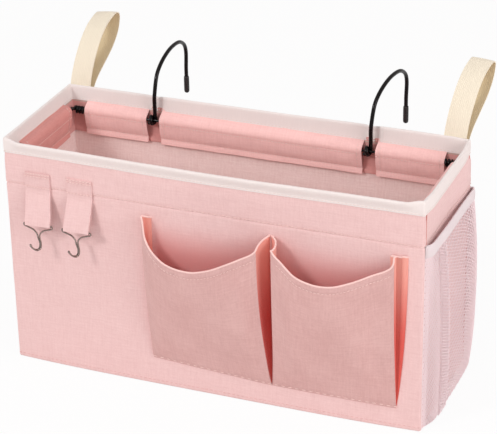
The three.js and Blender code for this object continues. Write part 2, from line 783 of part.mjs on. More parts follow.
function mesh_pocket() {
  const seam_x = right_face + seam_gap;
  const fold_x = seam_x + mesh_stand_off;
  const front_y = -half_depth + mesh_edge_inset;
  const rear_y = half_depth - mesh_edge_inset;
  const corners = [
    new THREE.Vector2(seam_x, front_y), new THREE.Vector2(fold_x, front_y + mesh_front_fold),
    new THREE.Vector2(fold_x, rear_y - mesh_rear_fold), new THREE.Vector2(seam_x, rear_y),
  ];
  ['mesh_front_gusset', 'mesh_face', 'mesh_rear_gusset'].forEach((name, place) => {
    add(name, net(corners[place], corners[place + 1]), net_white);
  });
  const outside = corners.map((corner, place) => {
    const side = place < corners.length / 2 ? -tape : tape;
    const at_fold = corner.x === fold_x;
    return new THREE.Vector2(corner.x + (at_fold ? tape : 0), corner.y + side * (at_fold ? 0.5 : 1));
  });
  const band = new THREE.ExtrudeGeometry(new THREE.Shape([...corners, ...outside.reverse()]), {
    depth: mesh_tape,
    bevelEnabled: false,
  });
  add('mesh_binding', band.translate(0, 0, mesh_top - mesh_tape), off_white);
  mesh_floor(corners);
}

// The net closes the pocket below, from the fold back to the seam at the base
function mesh_floor(corners) {
  const plan = new THREE.Shape(corners);
  const middle_x = (corners[0].x + corners[1].x) / 2;
  const half_hole = (mesh_stand_off - 2 * mesh_border) / 2;
  const first = corners[1].y + mesh_hole_width;
  const last = corners[2].y - mesh_hole_width;
  const count = Math.floor((last - first) / (mesh_hole_width + mesh_strand_width));
  for (let place = 0; place <= count; place += 1) {
    const y = THREE.MathUtils.lerp(first, last, place / count);
    plan.holes.push(new THREE.Path([
      new THREE.Vector2(middle_x - half_hole, y), new THREE.Vector2(middle_x, y - half_hole),
      new THREE.Vector2(middle_x + half_hole, y), new THREE.Vector2(middle_x, y + half_hole),
    ]));
  }
  const floor = new THREE.ExtrudeGeometry(plan, { depth: mesh_strand, bevelEnabled: false });
  add('mesh_floor', floor.translate(0, 0, mesh_bottom - seam_gap - mesh_strand), net_white);
}

outer_panels();
stiffeners();
linings();
binding();
frame_wires();
sleeves();
hooks();
loops();
tabs();
clips();
pockets();
mesh_pocket();

export default caddy;
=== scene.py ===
"""Bedside caddy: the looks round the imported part. Lengths in the tables are millimetres."""
from math import cos, exp, pi, radians, sin

import bpy
from mathutils import Matrix, Vector, noise


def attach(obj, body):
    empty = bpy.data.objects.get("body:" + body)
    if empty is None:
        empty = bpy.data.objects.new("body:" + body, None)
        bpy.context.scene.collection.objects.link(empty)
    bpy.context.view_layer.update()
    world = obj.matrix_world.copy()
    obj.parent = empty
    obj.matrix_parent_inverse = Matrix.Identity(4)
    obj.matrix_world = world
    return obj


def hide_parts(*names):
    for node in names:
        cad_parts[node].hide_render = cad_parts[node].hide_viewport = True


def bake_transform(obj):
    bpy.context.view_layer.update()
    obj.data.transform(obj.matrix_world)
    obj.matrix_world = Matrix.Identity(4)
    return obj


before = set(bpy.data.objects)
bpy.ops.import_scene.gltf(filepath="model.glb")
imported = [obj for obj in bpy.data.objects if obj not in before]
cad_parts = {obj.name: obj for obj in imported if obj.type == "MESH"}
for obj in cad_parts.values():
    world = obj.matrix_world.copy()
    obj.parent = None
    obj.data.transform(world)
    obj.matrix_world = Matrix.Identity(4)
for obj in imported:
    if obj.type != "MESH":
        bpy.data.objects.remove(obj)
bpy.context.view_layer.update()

MM = 0.001
TAU = 2 * pi
CLOTH_MAP = "cloth"


# Finishes
def colour(red, green, blue):
    """A colour as a screen shows it, 0 to 255, made linear for the shaders."""

    def linear(value):
        share = value / 255
        return share / 12.92 if share <= 0.04045 else ((share + 0.055) / 1.055) ** 2.4

    return (linear(red), linear(green), linear(blue), 1.0)


class Link:
    """A socket that takes part in sums: each operator adds its Math node."""

    def __init__(self, nodes, socket):
        self.nodes = nodes
        self.socket = socket

    def worked(self, operation, *others):
        values = dict(enumerate((self, *others)))
        return self.nodes.node("ShaderNodeMath", {"operation": operation}, values)

    def __add__(self, other):
        return self.worked("ADD", other)

    __radd__ = __add__

    def __mul__(self, other):
        return self.worked("MULTIPLY", other)

    __rmul__ = __mul__

    def __sub__(self, other):
        return self.worked("SUBTRACT", other)

    def __rsub__(self, other):
        return (self * -1) + other

    def sine(self):
        return self.worked("SINE")

    def highest(self, other):
        return self.worked("MAXIMUM", other)

    def share(self, low, high):
        """0 at low, 1 at high, smooth between."""
        values = {"Value": self, "From Min": low, "From Max": high}
        return self.nodes.node("ShaderNodeMapRange", {"interpolation_type": "SMOOTHSTEP"}, values)


class Nodes:
    """A node tree that is filled one node at a time."""

    def __init__(self, tree):
        self.tree = tree
        self.tree.nodes.clear()

    def node(self, kind, settings=None, values=None, output=0):
        made = self.tree.nodes.new(kind)
        for key, value in (settings or {}).items():
            setattr(made, key, value)
        for key, value in (values or {}).items():
            if isinstance(value, Link):
                self.tree.links.new(value.socket, made.inputs[key])
            else:
                made.inputs[key].default_value = value
        return Link(self, made.outputs[output] if made.outputs else None)

    def light_path(self):
        """Links that are 1 where the camera sees a surface, and where it is seen in gloss or through glass."""
        outputs = self.node("ShaderNodeLightPath").socket.node.outputs
        return [Link(self, outputs[f"Is {ray} Ray"]) for ray in ("Camera", "Glossy", "Transmission")]


class Finish(Nodes):
    """One material, and the nodes in it."""

    def __init__(self, name):
        self.material = bpy.data.materials.new(name)
        self.material.use_nodes = True
        super().__init__(self.material.node_tree)

    def cloth_place(self, scale=(1, 1, 1)):
        """The piece's own cloth map, in metres along and up the weave."""
        place = self.node("ShaderNodeUVMap", {"uv_map": CLOTH_MAP})
        return self.node("ShaderNodeMapping", None, {"Vector": place, "Scale": scale})

    def object_place(self, scale=(1, 1, 1)):
        place = self.node("ShaderNodeTexCoord", output=3)
        return self.node("ShaderNodeMapping", None, {"Vector": place, "Scale": scale})

    def axes(self, place):
        split = self.node("ShaderNodeSeparateXYZ", None, {"Vector": place})
        return [Link(self, socket) for socket in split.socket.node.outputs]

    def noise(self, place, scale, detail=2.0, roughness=0.5):
        values = {"Vector": place, "Scale": scale, "Detail": detail, "Roughness": roughness}
        return self.node("ShaderNodeTexNoise", None, values)

    def mixed(self, share, first, second):
        settings = {"data_type": "RGBA", "blend_type": "MIX"}
        return self.node("ShaderNodeMix", settings, {0: share, 6: first, 7: second}, output=2)

    def bumped(self, height, distance, strength=1.0):
        """distance is in millimetres."""
        values = {"Height": height, "Distance": distance * MM, "Strength": strength}
        return self.node("ShaderNodeBump", None, values)

    def done(self, **values):
        """The surface shader: its sockets are named with underscores for spaces."""
        named = {key.replace("_", " "): value for key, value in values.items()}
        return self.surfaced(self.node("ShaderNodeBsdfPrincipled", None, named))

    def surfaced(self, shader):
        self.node("ShaderNodeOutputMaterial", None, {"Surface": shader})
        return self.material


def shaded(tint, *factors):
    """A colour made lighter or darker, by one factor or by one for each channel."""
    channels = zip(tint, factors if len(factors) == 3 else factors * 3)
    return tuple(min(1.0, channel * factor) for channel, factor in channels) + (1.0,)


def pocket_shade_mask(finish):
    """The part of the front wall inside the open pockets, in metres, where painted shade darkens and reddens the
    canvas.
    """
    x, y, z = finish.axes(finish.object_place())
    across = x.share(-0.056, -0.048) * x.share(0.178, 0.170)
    up = z.share(0.030, 0.050) * z.share(0.174, 0.131)
    return across * up * y.share(-0.0660, -0.0675)


def woven(name, tint, thread=0.62, grain=0.05, mottle=0.04, relief=0.06, higher=None, behind=None):
    """Plain weave: crossed threads, slubs along both of them, and a slow change of tone.
    higher is another colour, and the heights on the cloth map where it starts and is full: painted light that makes
    the cloth lighter towards the top.
    behind is the colour of the painted shade on the wall inside the pockets."""
    finish = Finish(name)
    along, up, _ = finish.axes(finish.cloth_place())
    waves = TAU / (thread * MM)
    weave = (along * waves).sine() * (up * waves).sine()
    slub_along = finish.noise(finish.cloth_place((55, 620, 1)), 1.0, 3.0, 0.65)
    slub_up = finish.noise(finish.cloth_place((620, 55, 1)), 1.0, 3.0, 0.65)
    slubs = slub_along + slub_up - 1.0
    slow = finish.noise(finish.cloth_place(), 22.0, 4.0, 0.6) - 0.5
    fine = finish.noise(finish.cloth_place(), 520.0, 2.0, 0.6) - 0.5
    tone = slubs * 1.7 + slow * (mottle / 0.05) + fine * 1.1 + 0.5
    # The deeper threads lose less red than green and blue
    deep = shaded(tint, 1 - grain * 0.7, 1 - grain * 1.7, 1 - grain * 1.7)
    base = finish.mixed(tone, deep, shaded(tint, 1 + grain))
    # painted light: the cloth turns lighter towards the top
    if higher:
        tint_above, start, full = higher
        base = finish.mixed(up.share(start, full), base, tint_above)
    # painted shade: the canvas inside the pockets turns darker and redder
    if behind:
        base = finish.mixed(pocket_shade_mask(finish), base, behind)
    height = weave * 0.35 + slubs * 1.0 + fine * 0.6
    return finish.done(
        Base_Color=base,
        Roughness=0.88,
        Normal=finish.bumped(height, relief * 2, 0.9),
        Sheen_Weight=0.25,
        Sheen_Roughness=0.5,
        Specular_IOR_Level=0.25,
    )


def ribbed(name, tint, rib, relief, grain):
    """Webbing or tape: ribs across its run, fine threads between them."""
    finish = Finish(name)
    along, up, _ = finish.axes(finish.cloth_place())
    ribs = (along * (TAU / (rib * MM))).sine() * 0.5 + 0.5
    thread_waves = TAU / (0.9 * MM)
    threads = (up * thread_waves).sine() * (along * thread_waves).sine()
    streaks = finish.noise(finish.cloth_place((700, 60, 1)), 1.0, 3.0, 0.6) - 0.5
    slow = finish.noise(finish.cloth_place(), 45.0, 3.0, 0.5) - 0.5
    tone = ribs * 0.45 + streaks * 0.9 + slow * 0.8 + 0.28
    return finish.done(
        Base_Color=finish.mixed(tone, shaded(tint, 1 - grain), shaded(tint, 1 + grain * 0.6)),
        Roughness=0.86,
        Normal=finish.bumped(ribs * 0.8 + threads * 0.25 + streaks * 0.5, relief, 0.8),
        Sheen_Weight=0.2,
        Specular_IOR_Level=0.25,
    )


def thread_finish(name, tint):
    finish = Finish(name)
    twist = finish.noise(finish.object_place(), 1500.0, 1.0)
    base = finish.mixed(twist, shaded(tint, 0.9), shaded(tint, 1.06))
    return finish.done(Base_Color=base, Roughness=0.7, Specular_IOR_Level=0.35)


def enamelled(name, tint):
    """Black painted wire: glossy, with faint ripple and a few dull spots."""
    finish = Finish(name)
    waviness = finish.noise(finish.object_place(), 260.0, 3.0)
    spots = finish.noise(finish.object_place(), 900.0, 2.0).share(0.62, 0.72)
    return finish.done(
        Base_Color=finish.mixed(spots, tint, shaded(tint, 2.2)),
        Roughness=waviness * 0.14 + spots * 0.2 + 0.04,
        Normal=finish.bumped(waviness, 0.04, 0.5),
        Specular_IOR_Level=0.22,
    )


def rubber(name, tint):
    finish = Finish(name)
    grain = finish.noise(finish.object_place(), 1400.0, 2.0)
    return finish.done(
        Base_Color=finish.mixed(grain, shaded(tint, 0.8), shaded(tint, 1.3)),
        Normal=finish.bumped(grain, 0.04, 0.6),
        Roughness=grain * 0.2 + 0.42,
    )


def plated(name, tint):
    """Bright plated wire, with fine drawing lines and small dull patches."""
    finish = Finish(name)
    lines = finish.noise(finish.object_place((300, 300, 2500)), 1.0, 2.0)
    dull = finish.noise(finish.object_place(), 350.0, 3.0).share(0.5, 0.75)
    return finish.done(
        Base_Color=finish.mixed(dull, tint, shaded(tint, 0.72)),
        Metallic=1.0,
        Roughness=lines * 0.1 + dull * 0.16 + 0.1,
        Normal=finish.bumped(lines, 0.02, 0.4),
    )


def card(name, tint):
    finish = Finish(name)
    fibres = finish.noise(finish.object_place(), 700.0, 4.0, 0.7)
    base = finish.mixed(fibres, shaded(tint, 0.9), shaded(tint, 1.08))
    return finish.done(Base_Color=base, Roughness=0.9, Normal=finish.bumped(fibres, 0.05))


# painted shade: behind gives the canvas a darker, redder colour inside the pockets
PINK = woven("pink_canvas", colour(236, 202, 200), behind=colour(230, 158, 155))
# painted shade: the backing is darker and redder than the canvas, for the shade behind the sleeves
PINK_SHADE = woven("pink_canvas_backing", colour(222, 160, 155))
# painted light: the sleeves inside the box are lighter and redder than the outside canvas, for the light and bounce
# that falls there
SLEEVE_PINK = woven("pink_sleeve", colour(248, 203, 199))
# painted shade: the sleeve on the inner left wall is darker and redder than the others
SLEEVE_SHADE = woven("pink_sleeve_end", colour(222, 152, 145))
POCKET = woven("pocket_canvas", colour(216, 176, 172), grain=0.07, mottle=0.11)
# painted shade: the pleats are deep red for the shade in their folds, with painted light making them lighter towards
# the top
POCKET_SIDE = woven("pocket_pleats", colour(216, 88, 78), grain=0.05, higher=(colour(240, 168, 154), 0.06, 0.155))
# painted shade: the inner side of the pockets is deep red for the shade and bounce light inside them
POCKET_INSIDE = woven("pocket_inside", colour(226, 112, 103), grain=0.05)
# painted highlight: the rolled hem is lighter than the pocket face along its edge
HEM = woven("pocket_hem", colour(243, 208, 202), grain=0.04)
TAB_PINK = woven("pink_tabs", colour(233, 199, 197))
LINING = woven("lining_cloth", colour(245, 222, 218), thread=0.9, grain=0.06, relief=0.05)
BINDING = ribbed("binding_tape", colour(238, 228, 225), rib=0.9, relief=0.08, grain=0.04)
WEBBING = ribbed("cream_webbing", colour(241, 230, 209), rib=1.7, relief=0.2, grain=0.05)
# painted shade: the inner side of the loops is darker and yellower, for the shade and bounce light inside them
WEBBING_INSIDE = ribbed("cream_webbing_inside", colour(222, 204, 168), rib=1.7, relief=0.2, grain=0.06)
ELASTIC = ribbed("mesh_elastic", colour(232, 219, 221), rib=1.1, relief=0.14, grain=0.05)
ELASTIC_PLAIN = thread_finish("mesh_welt", colour(240, 220, 221))
NET = thread_finish("mesh_yarn", colour(246, 226, 229))
THREAD_PINK = thread_finish("pink_thread", colour(226, 178, 176))
THREAD_PALE = thread_finish("pale_thread", colour(233, 214, 208))
THREAD_LIGHT = thread_finish("light_pink_thread", colour(244, 214, 208))
# painted shade: the corner welts are dark red for the shadow line at the seams
SEAM_SHADE = woven("seam_welt", colour(206, 128, 120))
ENAMEL = enamelled("black_enamel", colour(14, 9, 10))
RUBBER = rubber("black_cap", colour(26, 21, 22))
CHROME = plated("bright_plating", colour(150, 134, 128))
CARD = card("grey_board", colour(201, 194, 180))


# Making pieces
def placed(name, data):
    thing = bpy.data.objects.new(name, data)
    bpy.context.scene.collection.objects.link(thing)
    return thing


def made(name, points, faces, finish, places=None):
    """A mesh from millimetre points. places gives each face corner its spot on the cloth map."""
    mesh = bpy.data.meshes.new(name)
    mesh.from_pydata([tuple(point * MM) for point in points], [], faces)
    if places:
        layer = mesh.uv_layers.new(name=CLOTH_MAP)
        layer.data.foreach_set("uv", [value for place in places for value in place])
    mesh.materials.append(finish)
    mesh.shade_smooth()
    return placed(name, mesh)


def settled(piece):
    """The piece with its modifiers worked into a plain mesh."""
    bpy.context.view_layer.update()
    seen = piece.evaluated_get(bpy.context.evaluated_depsgraph_get())
    mesh = bpy.data.meshes.new_from_object(seen)
    piece.modifiers.clear()
    piece.data = mesh
    return piece


def mean_run(rows):
    """How far each row of points is from the first, by the mean step between neighbours."""
    run = [0.0]
    for before, after in zip(rows, rows[1:]):
        steps = [(b - a).length for a, b in zip(before, after)]
        run.append(run[-1] + sum(steps) / len(steps))
    return run


def thickened(piece, thick, offset, sharp, inside):
    """Cloth gets its thickness. Offset -1 grows it inwards from the outside, 0 both ways.
    inside is a finish of its own for the inner side."""
    solid = piece.modifiers.new("thick", "SOLIDIFY")
    solid.thickness = thick * MM
    solid.offset = offset
    if inside:
        piece.data.materials.append(inside)
        solid.material_offset = 1
    settled(piece)
    piece.data.set_sharp_from_angle(angle=radians(sharp))


def quads(rows, across, closed):
    """Faces between rows of points that are stored one row after another."""
    faces = []
    for low in range(0, (rows - 1) * across, across):
        for i in range(across if closed else across - 1):
            after = (i + 1) % across
            faces.append((low + i, low + after, low + across + after, low + across + i))
    return faces


def distances(points):
    """How far along a line each of its points is."""
    return mean_run([[point] for point in points])


def cloth(name, rows, finish, thick, offset=-1.0, closed=False, sharp=55, inside=None):
    """Cloth through rows of points, the outside where along crosses up."""
    across = len(rows[0])
    columns = across if closed else across - 1
    along = mean_run([[row[i % across] for row in rows] for i in range(columns + 1)])
    up = mean_run(rows)
    places = [
        (along[a] * MM, up[b] * MM)
        for j in range(len(rows) - 1)
        for i in range(columns)
        for a, b in ((i, j), (i + 1, j), (i + 1, j + 1), (i, j + 1))
    ]
    points = [point for row in rows for point in row]
    piece = made(name, points, quads(len(rows), across, closed), finish, places)
    thickened(piece, thick, offset, sharp, inside)
    return piece


def curve_through(points, per_span):
    """A centripetal curve through all the points."""
    points = [Vector(point) for point in points]
    route = [points[0] * 2 - points[1], *points, points[-1] * 2 - points[-2]]
    made_points = []
    for a, b, c, d in zip(route, route[1:], route[2:], route[3:]):
        before = max((b - a).length, 1e-6) ** 0.5
        span = max((c - b).length, 1e-6) ** 0.5
        after = max((d - c).length, 1e-6) ** 0.5
        leave = ((b - a) / before - (c - a) / (before + span) + (c - b) / span) * span
        arrive = ((c - b) / span - (d - b) / (span + after) + (d - c) / after) * span
        for step in range(per_span):
            t = step / per_span
            t2, t3 = t * t, t * t * t
            made_points.append(
                b * (2 * t3 - 3 * t2 + 1)
                + leave * (t3 - 2 * t2 + t)
                + c * (3 * t2 - 2 * t3)
                + arrive * (t3 - t2)
            )
    return [*made_points, points[-1]]


def evenly(points, step):
    """The same line with its points one step apart."""
    lengths = distances(points)
    count = max(1, round(lengths[-1] / step))
    spaced = []
    span = 0
    for place in range(count + 1):
        wanted = lengths[-1] * place / count
        while span < len(points) - 2 and lengths[span + 1] < wanted:
            span += 1
        size = lengths[span + 1] - lengths[span]
        share = (wanted - lengths[span]) / size if size else 0.0
        spaced.append(points[span].lerp(points[span + 1], min(1.0, share)))
    return spaced


def along_line(points):
    """The direction of a line at each of its points."""
    last = len(points) - 1
    return [
        (points[min(i + 1, last)] - points[max(i - 1, 0)]).normalized()
        for i in range(len(points))
    ]


def tube(name, points, radius, finish, sides=14, round_ends=True):
    """A round wire along the points, with domed ends. radius may be one for each point."""
    radii = radius if isinstance(radius, list) else [radius] * len(points)
    headings = along_line(points)
    side = headings[0].orthogonal().normalized()
    rings = []
    for point, heading, size in zip(points, headings, radii):
        side = (side - heading * side.dot(heading)).normalized()
        rings.append((point, heading, side.copy(), size))
    if round_ends:
        for end, sign in ((0, -1), (-1, 1)):
            point, heading, across, size = rings[end]
            dome = [
                (point + heading * sign * size * sin(a), heading, across, size * cos(a))
                for a in (radians(30), radians(58), radians(80))
            ]
            rings = dome[::-1] + rings if end == 0 else rings + dome
    vertices = []
    for point, heading, across, size in rings:
        other = heading.cross(across)
        for turn in range(sides):
            angle = TAU * turn / sides
            vertices.append(point + (across * cos(angle) + other * sin(angle)) * size)
    faces = quads(len(rings), sides, True)
    faces.append(tuple(range(sides))[::-1])
    faces.append(tuple(range((len(rings) - 1) * sides, len(rings) * sides)))
    piece = made(name, vertices, faces, finish)
    piece.data.set_sharp_from_angle(angle=radians(50))
    return piece


class Growth(Nodes):
    """A Geometry Nodes group that grows a repeated piece on bare lines. sizes are its named inputs."""

    def __init__(self, name, **sizes):
        super().__init__(bpy.data.node_groups.new(name, "GeometryNodeTree"))
        kinds = {"Geometry": "Geometry", **sizes, "Finish": "Material"}
        new_socket = self.tree.interface.new_socket
        self.identifiers = {
            key: new_socket(key, in_out="INPUT", socket_type="NodeSocket" + kind).identifier
            for key, kind in kinds.items()
        }
        new_socket("Geometry", in_out="OUTPUT", socket_type="NodeSocketGeometry")
        outputs = self.node("NodeGroupInput").socket.node.outputs
        self.given = {key: Link(self, outputs[key]) for key in kinds}
        self.lines = self.node("GeometryNodeMeshToCurve", None, {0: self.given["Geometry"]})

    def ended(self, geometry):
        real = self.node("GeometryNodeRealizeInstances", None, {0: geometry})
        smooth = self.node("GeometryNodeSetShadeSmooth", None, {0: real})
        values = {"Geometry": smooth, "Material": self.given["Finish"]}
        self.node("NodeGroupOutput", None, {0: self.node("GeometryNodeSetMaterial", None, values)})
        return self

    def grown(self, name, lines, **values):
        """The group is run on a mesh of bare edges, and its result kept as a plain mesh."""
        points, edges = [], []
        for line in lines:
            start = len(points)
            points += [tuple(point * MM) for point in line]
            edges += [(start + i, start + i + 1) for i in range(len(line) - 1)]
        mesh = bpy.data.meshes.new(name)
        mesh.from_pydata(points, edges, [])
        piece = placed(name, mesh)
        modifier = piece.modifiers.new("grow", "NODES")
        modifier.node_group = self.tree
        for key, value in values.items():
            modifier[self.identifiers[key]] = value
        return settled(piece)


def rode(piece, body, slot, *nodes):
    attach(piece, body)
    if nodes:
        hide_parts(*nodes)


def laid(piece, slot, nodes, flat, held, rests_on, **more):
    """A sheet on the basket. The millimetres that it was cut to are not used."""
    rode(piece, "basket", slot, *nodes)
    width, length = flat
    width * MM
    length * MM


def ripple(place, seed, size):
    """Smooth chance from -1 to 1: size is how far apart the humps are."""
    return noise.noise(Vector((place[0] / size, place[1] / size, seed * 7.3)))


def rippled(place, seed, size):
    """The same from 0 to 1."""
    return 0.5 + 0.5 * ripple(place, seed, size)


def eased(value, low, high):
    """0 up to low, 1 from high on, smooth between."""
    share = min(1.0, max(0.0, (value - low) / (high - low)))
    return share * share * (3 - 2 * share)


def band(value, start, full, fading, end):
    """1 between full and fading, 0 outside start and end."""
    return eased(value, start, full) * (1 - eased(value, fading, end))


def hump(value, centre, width):
    """1 at the centre, fading out smoothly on both sides."""
    return exp(-(((value - centre) / width) ** 2))


# The box and its layers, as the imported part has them
WIDTH, DEPTH = 400.0, 137.0
ROUND_BOX = 2 * (WIDTH + DEPTH)
PANEL_OUT, PANEL_THICK = 0.05, 1.2
CORNER_RADIUS = 1.8
BINDING_BOTTOM, PANEL_TOP = 213.5, 222.0
SEAM_OUTSIDE, SEAM_INSIDE, CHANNEL_SEAM = 183.8, 187.0, 202.4
COLUMNS_LONG, COLUMNS_SHORT, COLUMNS_CORNER = 124, 42, 5
STEP_UP = 3.6

WALLS = {
    "front": lambda run, inset, z: Vector((run, -DEPTH / 2 + inset, z)),
    "right": lambda run, inset, z: Vector((WIDTH / 2 - inset, run, z)),
    "back": lambda run, inset, z: Vector((-run, DEPTH / 2 - inset, z)),
    "left": lambda run, inset, z: Vector((-WIDTH / 2 + inset, -run, z)),
}
SIDES = ("front", "back", "right", "left")


def ring(inset):
    """Stations round the box, anticlockwise from above from the front left corner: place and way out."""
    radius = max(CORNER_RADIUS - inset, 0.9)
    half_x, half_y = WIDTH / 2 - inset, DEPTH / 2 - inset
    centre_x, centre_y = half_x - radius, half_y - radius
    sides = (
        (-90, COLUMNS_LONG, (-centre_x, -half_y), (centre_x, -half_y), (centre_x, -centre_y)),
        (0, COLUMNS_SHORT, (half_x, -centre_y), (half_x, centre_y), (centre_x, centre_y)),
        (90, COLUMNS_LONG, (centre_x, half_y), (-centre_x, half_y), (-centre_x, centre_y)),
        (180, COLUMNS_SHORT, (-half_x, centre_y), (-half_x, -centre_y), (-centre_x, -centre_y)),
    )
    stations = []
    for heading, columns, start, end, turn in sides:
        out = Vector((cos(radians(heading)), sin(radians(heading)), 0))
        for step in range(columns):
            place = Vector((*start, 0)).lerp(Vector((*end, 0)), step / columns)
            stations.append((place, out))
        for step in range(COLUMNS_CORNER):
            angle = radians(heading + 90 * step / COLUMNS_CORNER)
            out = Vector((cos(angle), sin(angle), 0))
            stations.append((Vector((*turn, 0)) + out * radius, out))
    return stations


RUNS = distances([place for place, _ in ring(0)])


def swept(profile, wave):
    """Rows of points round the box, one for each (inset, height) of the profile.
    wave gives how far a place is pushed out and lifted."""
    rows = []
    for order, (inset, height) in enumerate(profile):
        row = []
        for (place, out), run in zip(ring(inset), RUNS):
            push, lift = wave(run, place, height, order)
            row.append(place + out * push + Vector((0, 0, height + lift)))
        rows.append(row)
    return rows


def steps_between(low, high, step):
    count = max(1, round((high - low) / step))
    return [low + (high - low) * place / count for place in range(count + 1)]


def flat_rows(half_x, half_y, step, height):
    """Rows over a level rectangle. height is worked out from x and y."""
    return [
        [Vector((x, y, height(x, y))) for x in steps_between(-half_x, half_x, step)]
        for y in steps_between(-half_y, half_y, step)
    ]


# Outer cloth
def front_bow(x, z):
    """How far the front stands forward of its corners: along the floor, and under the rim."""
    half = WIDTH / 2
    x = max(-half, min(half, x))
    low = 3.8 * (1 - (x / half) ** 4) * (1 - eased(z, -10, 70))
    high = 3.4 * hump(x, 10, 120) * (1 - (x / half) ** 6) * eased(z, 172, 213)
    return low + high


def wall_bow(place, z):
    if place.y < 2 - DEPTH / 2:
        return front_bow(place.x, z)
    if place.x > WIDTH / 2 - 2:
        return 1.5 * hump(place.y, 52, 26) * band(z, 120, 175, 205, 216)
    return 0.0


def outer_wave(run, place, height, _order):
    """The canvas lies over its boards in slow swells, and draws in at its seams."""
    calm = band(height, 3, 26, 198, 212)
    swell = ripple((run, height), 1, 95.0)
    dimple = ripple((run, height), 2, 34.0)
    push = calm * (0.45 * swell + 0.25 * dimple) + wall_bow(place, height)
    push -= 0.6 * hump(height, SEAM_OUTSIDE - 0.9, 0.9)
    push += 0.45 * hump(height, SEAM_OUTSIDE + 4.3, 3.2) * (0.6 + 0.4 * ripple((run, 0), 3, 9.0))
    push += 0.3 * hump(height, SEAM_OUTSIDE - 5.5, 3.5) * rippled((run, 9), 3, 11.0)
    push -= 0.5 * eased(height, 206, 213)
    return push, 0.0


def outer_shell():
    turned_edge = [(9.0, 0.5), (5.0, 0.15), (2.2, 0.05), (0.9, 0.35), (0.25, 1.0), (0.05, 2.2), (0.05, 5.0)]
    heights = steps_between(8.0, SEAM_OUTSIDE - 3.5, STEP_UP)
    heights += [SEAM_OUTSIDE + rise for rise in (-2.4, -1.6, -1.0, -0.5, 0.0, 0.6, 1.4, 2.6)]
    heights += steps_between(SEAM_OUTSIDE + 4.4, PANEL_TOP, STEP_UP)
    profile = turned_edge + [(PANEL_OUT, height) for height in heights]
    shell = cloth("outer_shell", swept(profile, outer_wave), PINK, PANEL_THICK, closed=True)
    nodes = [side + "_panel" for side in SIDES]
    laid(shell, "pink_fabric", nodes, (ROUND_BOX, 234), "stretched", ["front_board", "back_board"])


def base_cloth():
    """The underside: one flat piece inside the turned lower edge."""
    half_x, half_y = 197.0, 65.5

    def height(x, y):
        edge = min(half_x - abs(x), half_y - abs(y))
        return 1.0 - 0.6 * eased(edge, 2, 12) + 0.12 * ripple((x, y), 4, 40.0)

    base = cloth("base_cloth", flat_rows(half_x, half_y, 4.0, height)[::-1], PINK, 0.45)
    laid(base, "pink_fabric", ["base_panel"], (394, 131), "stretched", ["base_board"])


# Boards between the cloths
BOARD_OUT, BOARD_THICK, BOARD_LOW, BOARD_HIGH = 2.4, 1.8, 2.0, 212.5


def stiffening_boards():
    """Four wall boards, bowed as the cloth over them is. They end under the rim's tape."""
    long_wall, end_wall = WIDTH / 2 - 5.1, DEPTH / 2 - 5.4
    for side, half in (("front", long_wall), ("back", long_wall), ("right", end_wall), ("left", end_wall)):
        wall = WALLS[side]
        rows = [
            [wall(run, BOARD_OUT - wall_bow(wall(run, 0.0, z), z), z) for run in steps_between(-half, half, 10.0)]
            for z in steps_between(BOARD_LOW, BOARD_HIGH, 12.0)
        ]
        rode(cloth(f"{side}_wall_board", rows, CARD, BOARD_THICK), "basket", "stiffener", side + "_board")
    for slot in bpy.data.objects["base_board"].material_slots:
        slot.material = CARD


# Rim
RIM_ZONE, RIM_ROW = 6, 214.9


def binding_wave(run, place, height, order):
    """The tape is uneven along its edges, rolls out a little at the front and is dented by the hooks."""
    at_fold = eased(height, 219, 226)
    push = 0.16 * ripple((run, height), 5, 13.0) * (1 - at_fold)
    lift = 0.3 * ripple((run, 0), 6, 38.0) * at_fold + 0.3 * ripple((run, 3), 7, 24.0) * (1 - at_fold)
    free = eased(WIDTH / 2 - abs(place.x), 3, 17)
    if place.y < RIM_ZONE - DEPTH / 2:
        push += 3.2 * free * eased(height, 215, 226)
        lift -= 1.9 * free * eased(height, 217, 226)
        push += front_bow(place.x, min(height, 214))
    elif place.x > WIDTH / 2 - RIM_ZONE:
        rolled = eased(DEPTH / 2 - abs(place.y), 3, 25)
        push += 1.2 * rolled
        lift -= 0.8 * rolled
    elif place.y > DEPTH / 2 - RIM_ZONE:
        lift += 0.9 * free * eased(place.x, 20, 90) * at_fold
        for _, hook_x, _ in HOOKS:
            beside = hump(place.x, hook_x - 3.6, 1.6) + hump(place.x, hook_x + 4.6, 1.7)
            inner = eased(order, 10, 13)
            push += (1.1 * beside + 0.6 * hump(place.x, hook_x, 5)) * inner
            lift -= 0.7 * hump(place.x, hook_x, 5.5) * at_fold
    return push, lift


def rim_tape():
    outside = [(-0.2, 213.3), (-0.4, 214.0), (-0.1, RIM_ROW), (-0.35, 216.6)]
    outside += [(-0.4, 219.0), (-0.35, 222.0), (-0.3, 225.0)]
    fold = [(-0.1, 226.3), (0.5, 227.0), (1.3, 227.25), (2.1, 227.0), (2.7, 226.3)]
    inside = [(3.0, 225.0), (3.35, 222.0), (3.7, 219.0), (4.0, 216.6), (4.1, RIM_ROW)]
    inside += [(4.5, 214.0), (4.5, 213.2)]
    tape = cloth("rim_binding_tape", swept(outside + fold + inside, binding_wave), BINDING, 0.7, closed=True)
    laid(tape, "binding_tape", ["rim_binding"], (ROUND_BOX, 31), "folded", ["outer_shell"])


# Lining and the inside of the base
def lining_wave(run, _place, height, _order):
    """The lining is only sewn at its top, so it swells off the boards."""
    calm = band(height, 8, 40, 158, 178)
    swell = rippled((run, height), 11, 62.0)
    crease = max(0.0, 0.5 + 0.9 * ripple((run + 0.6 * height, height * 0.4), 12, 26.0))
    return -calm * (1.9 * swell + 0.7 * crease), 0.0


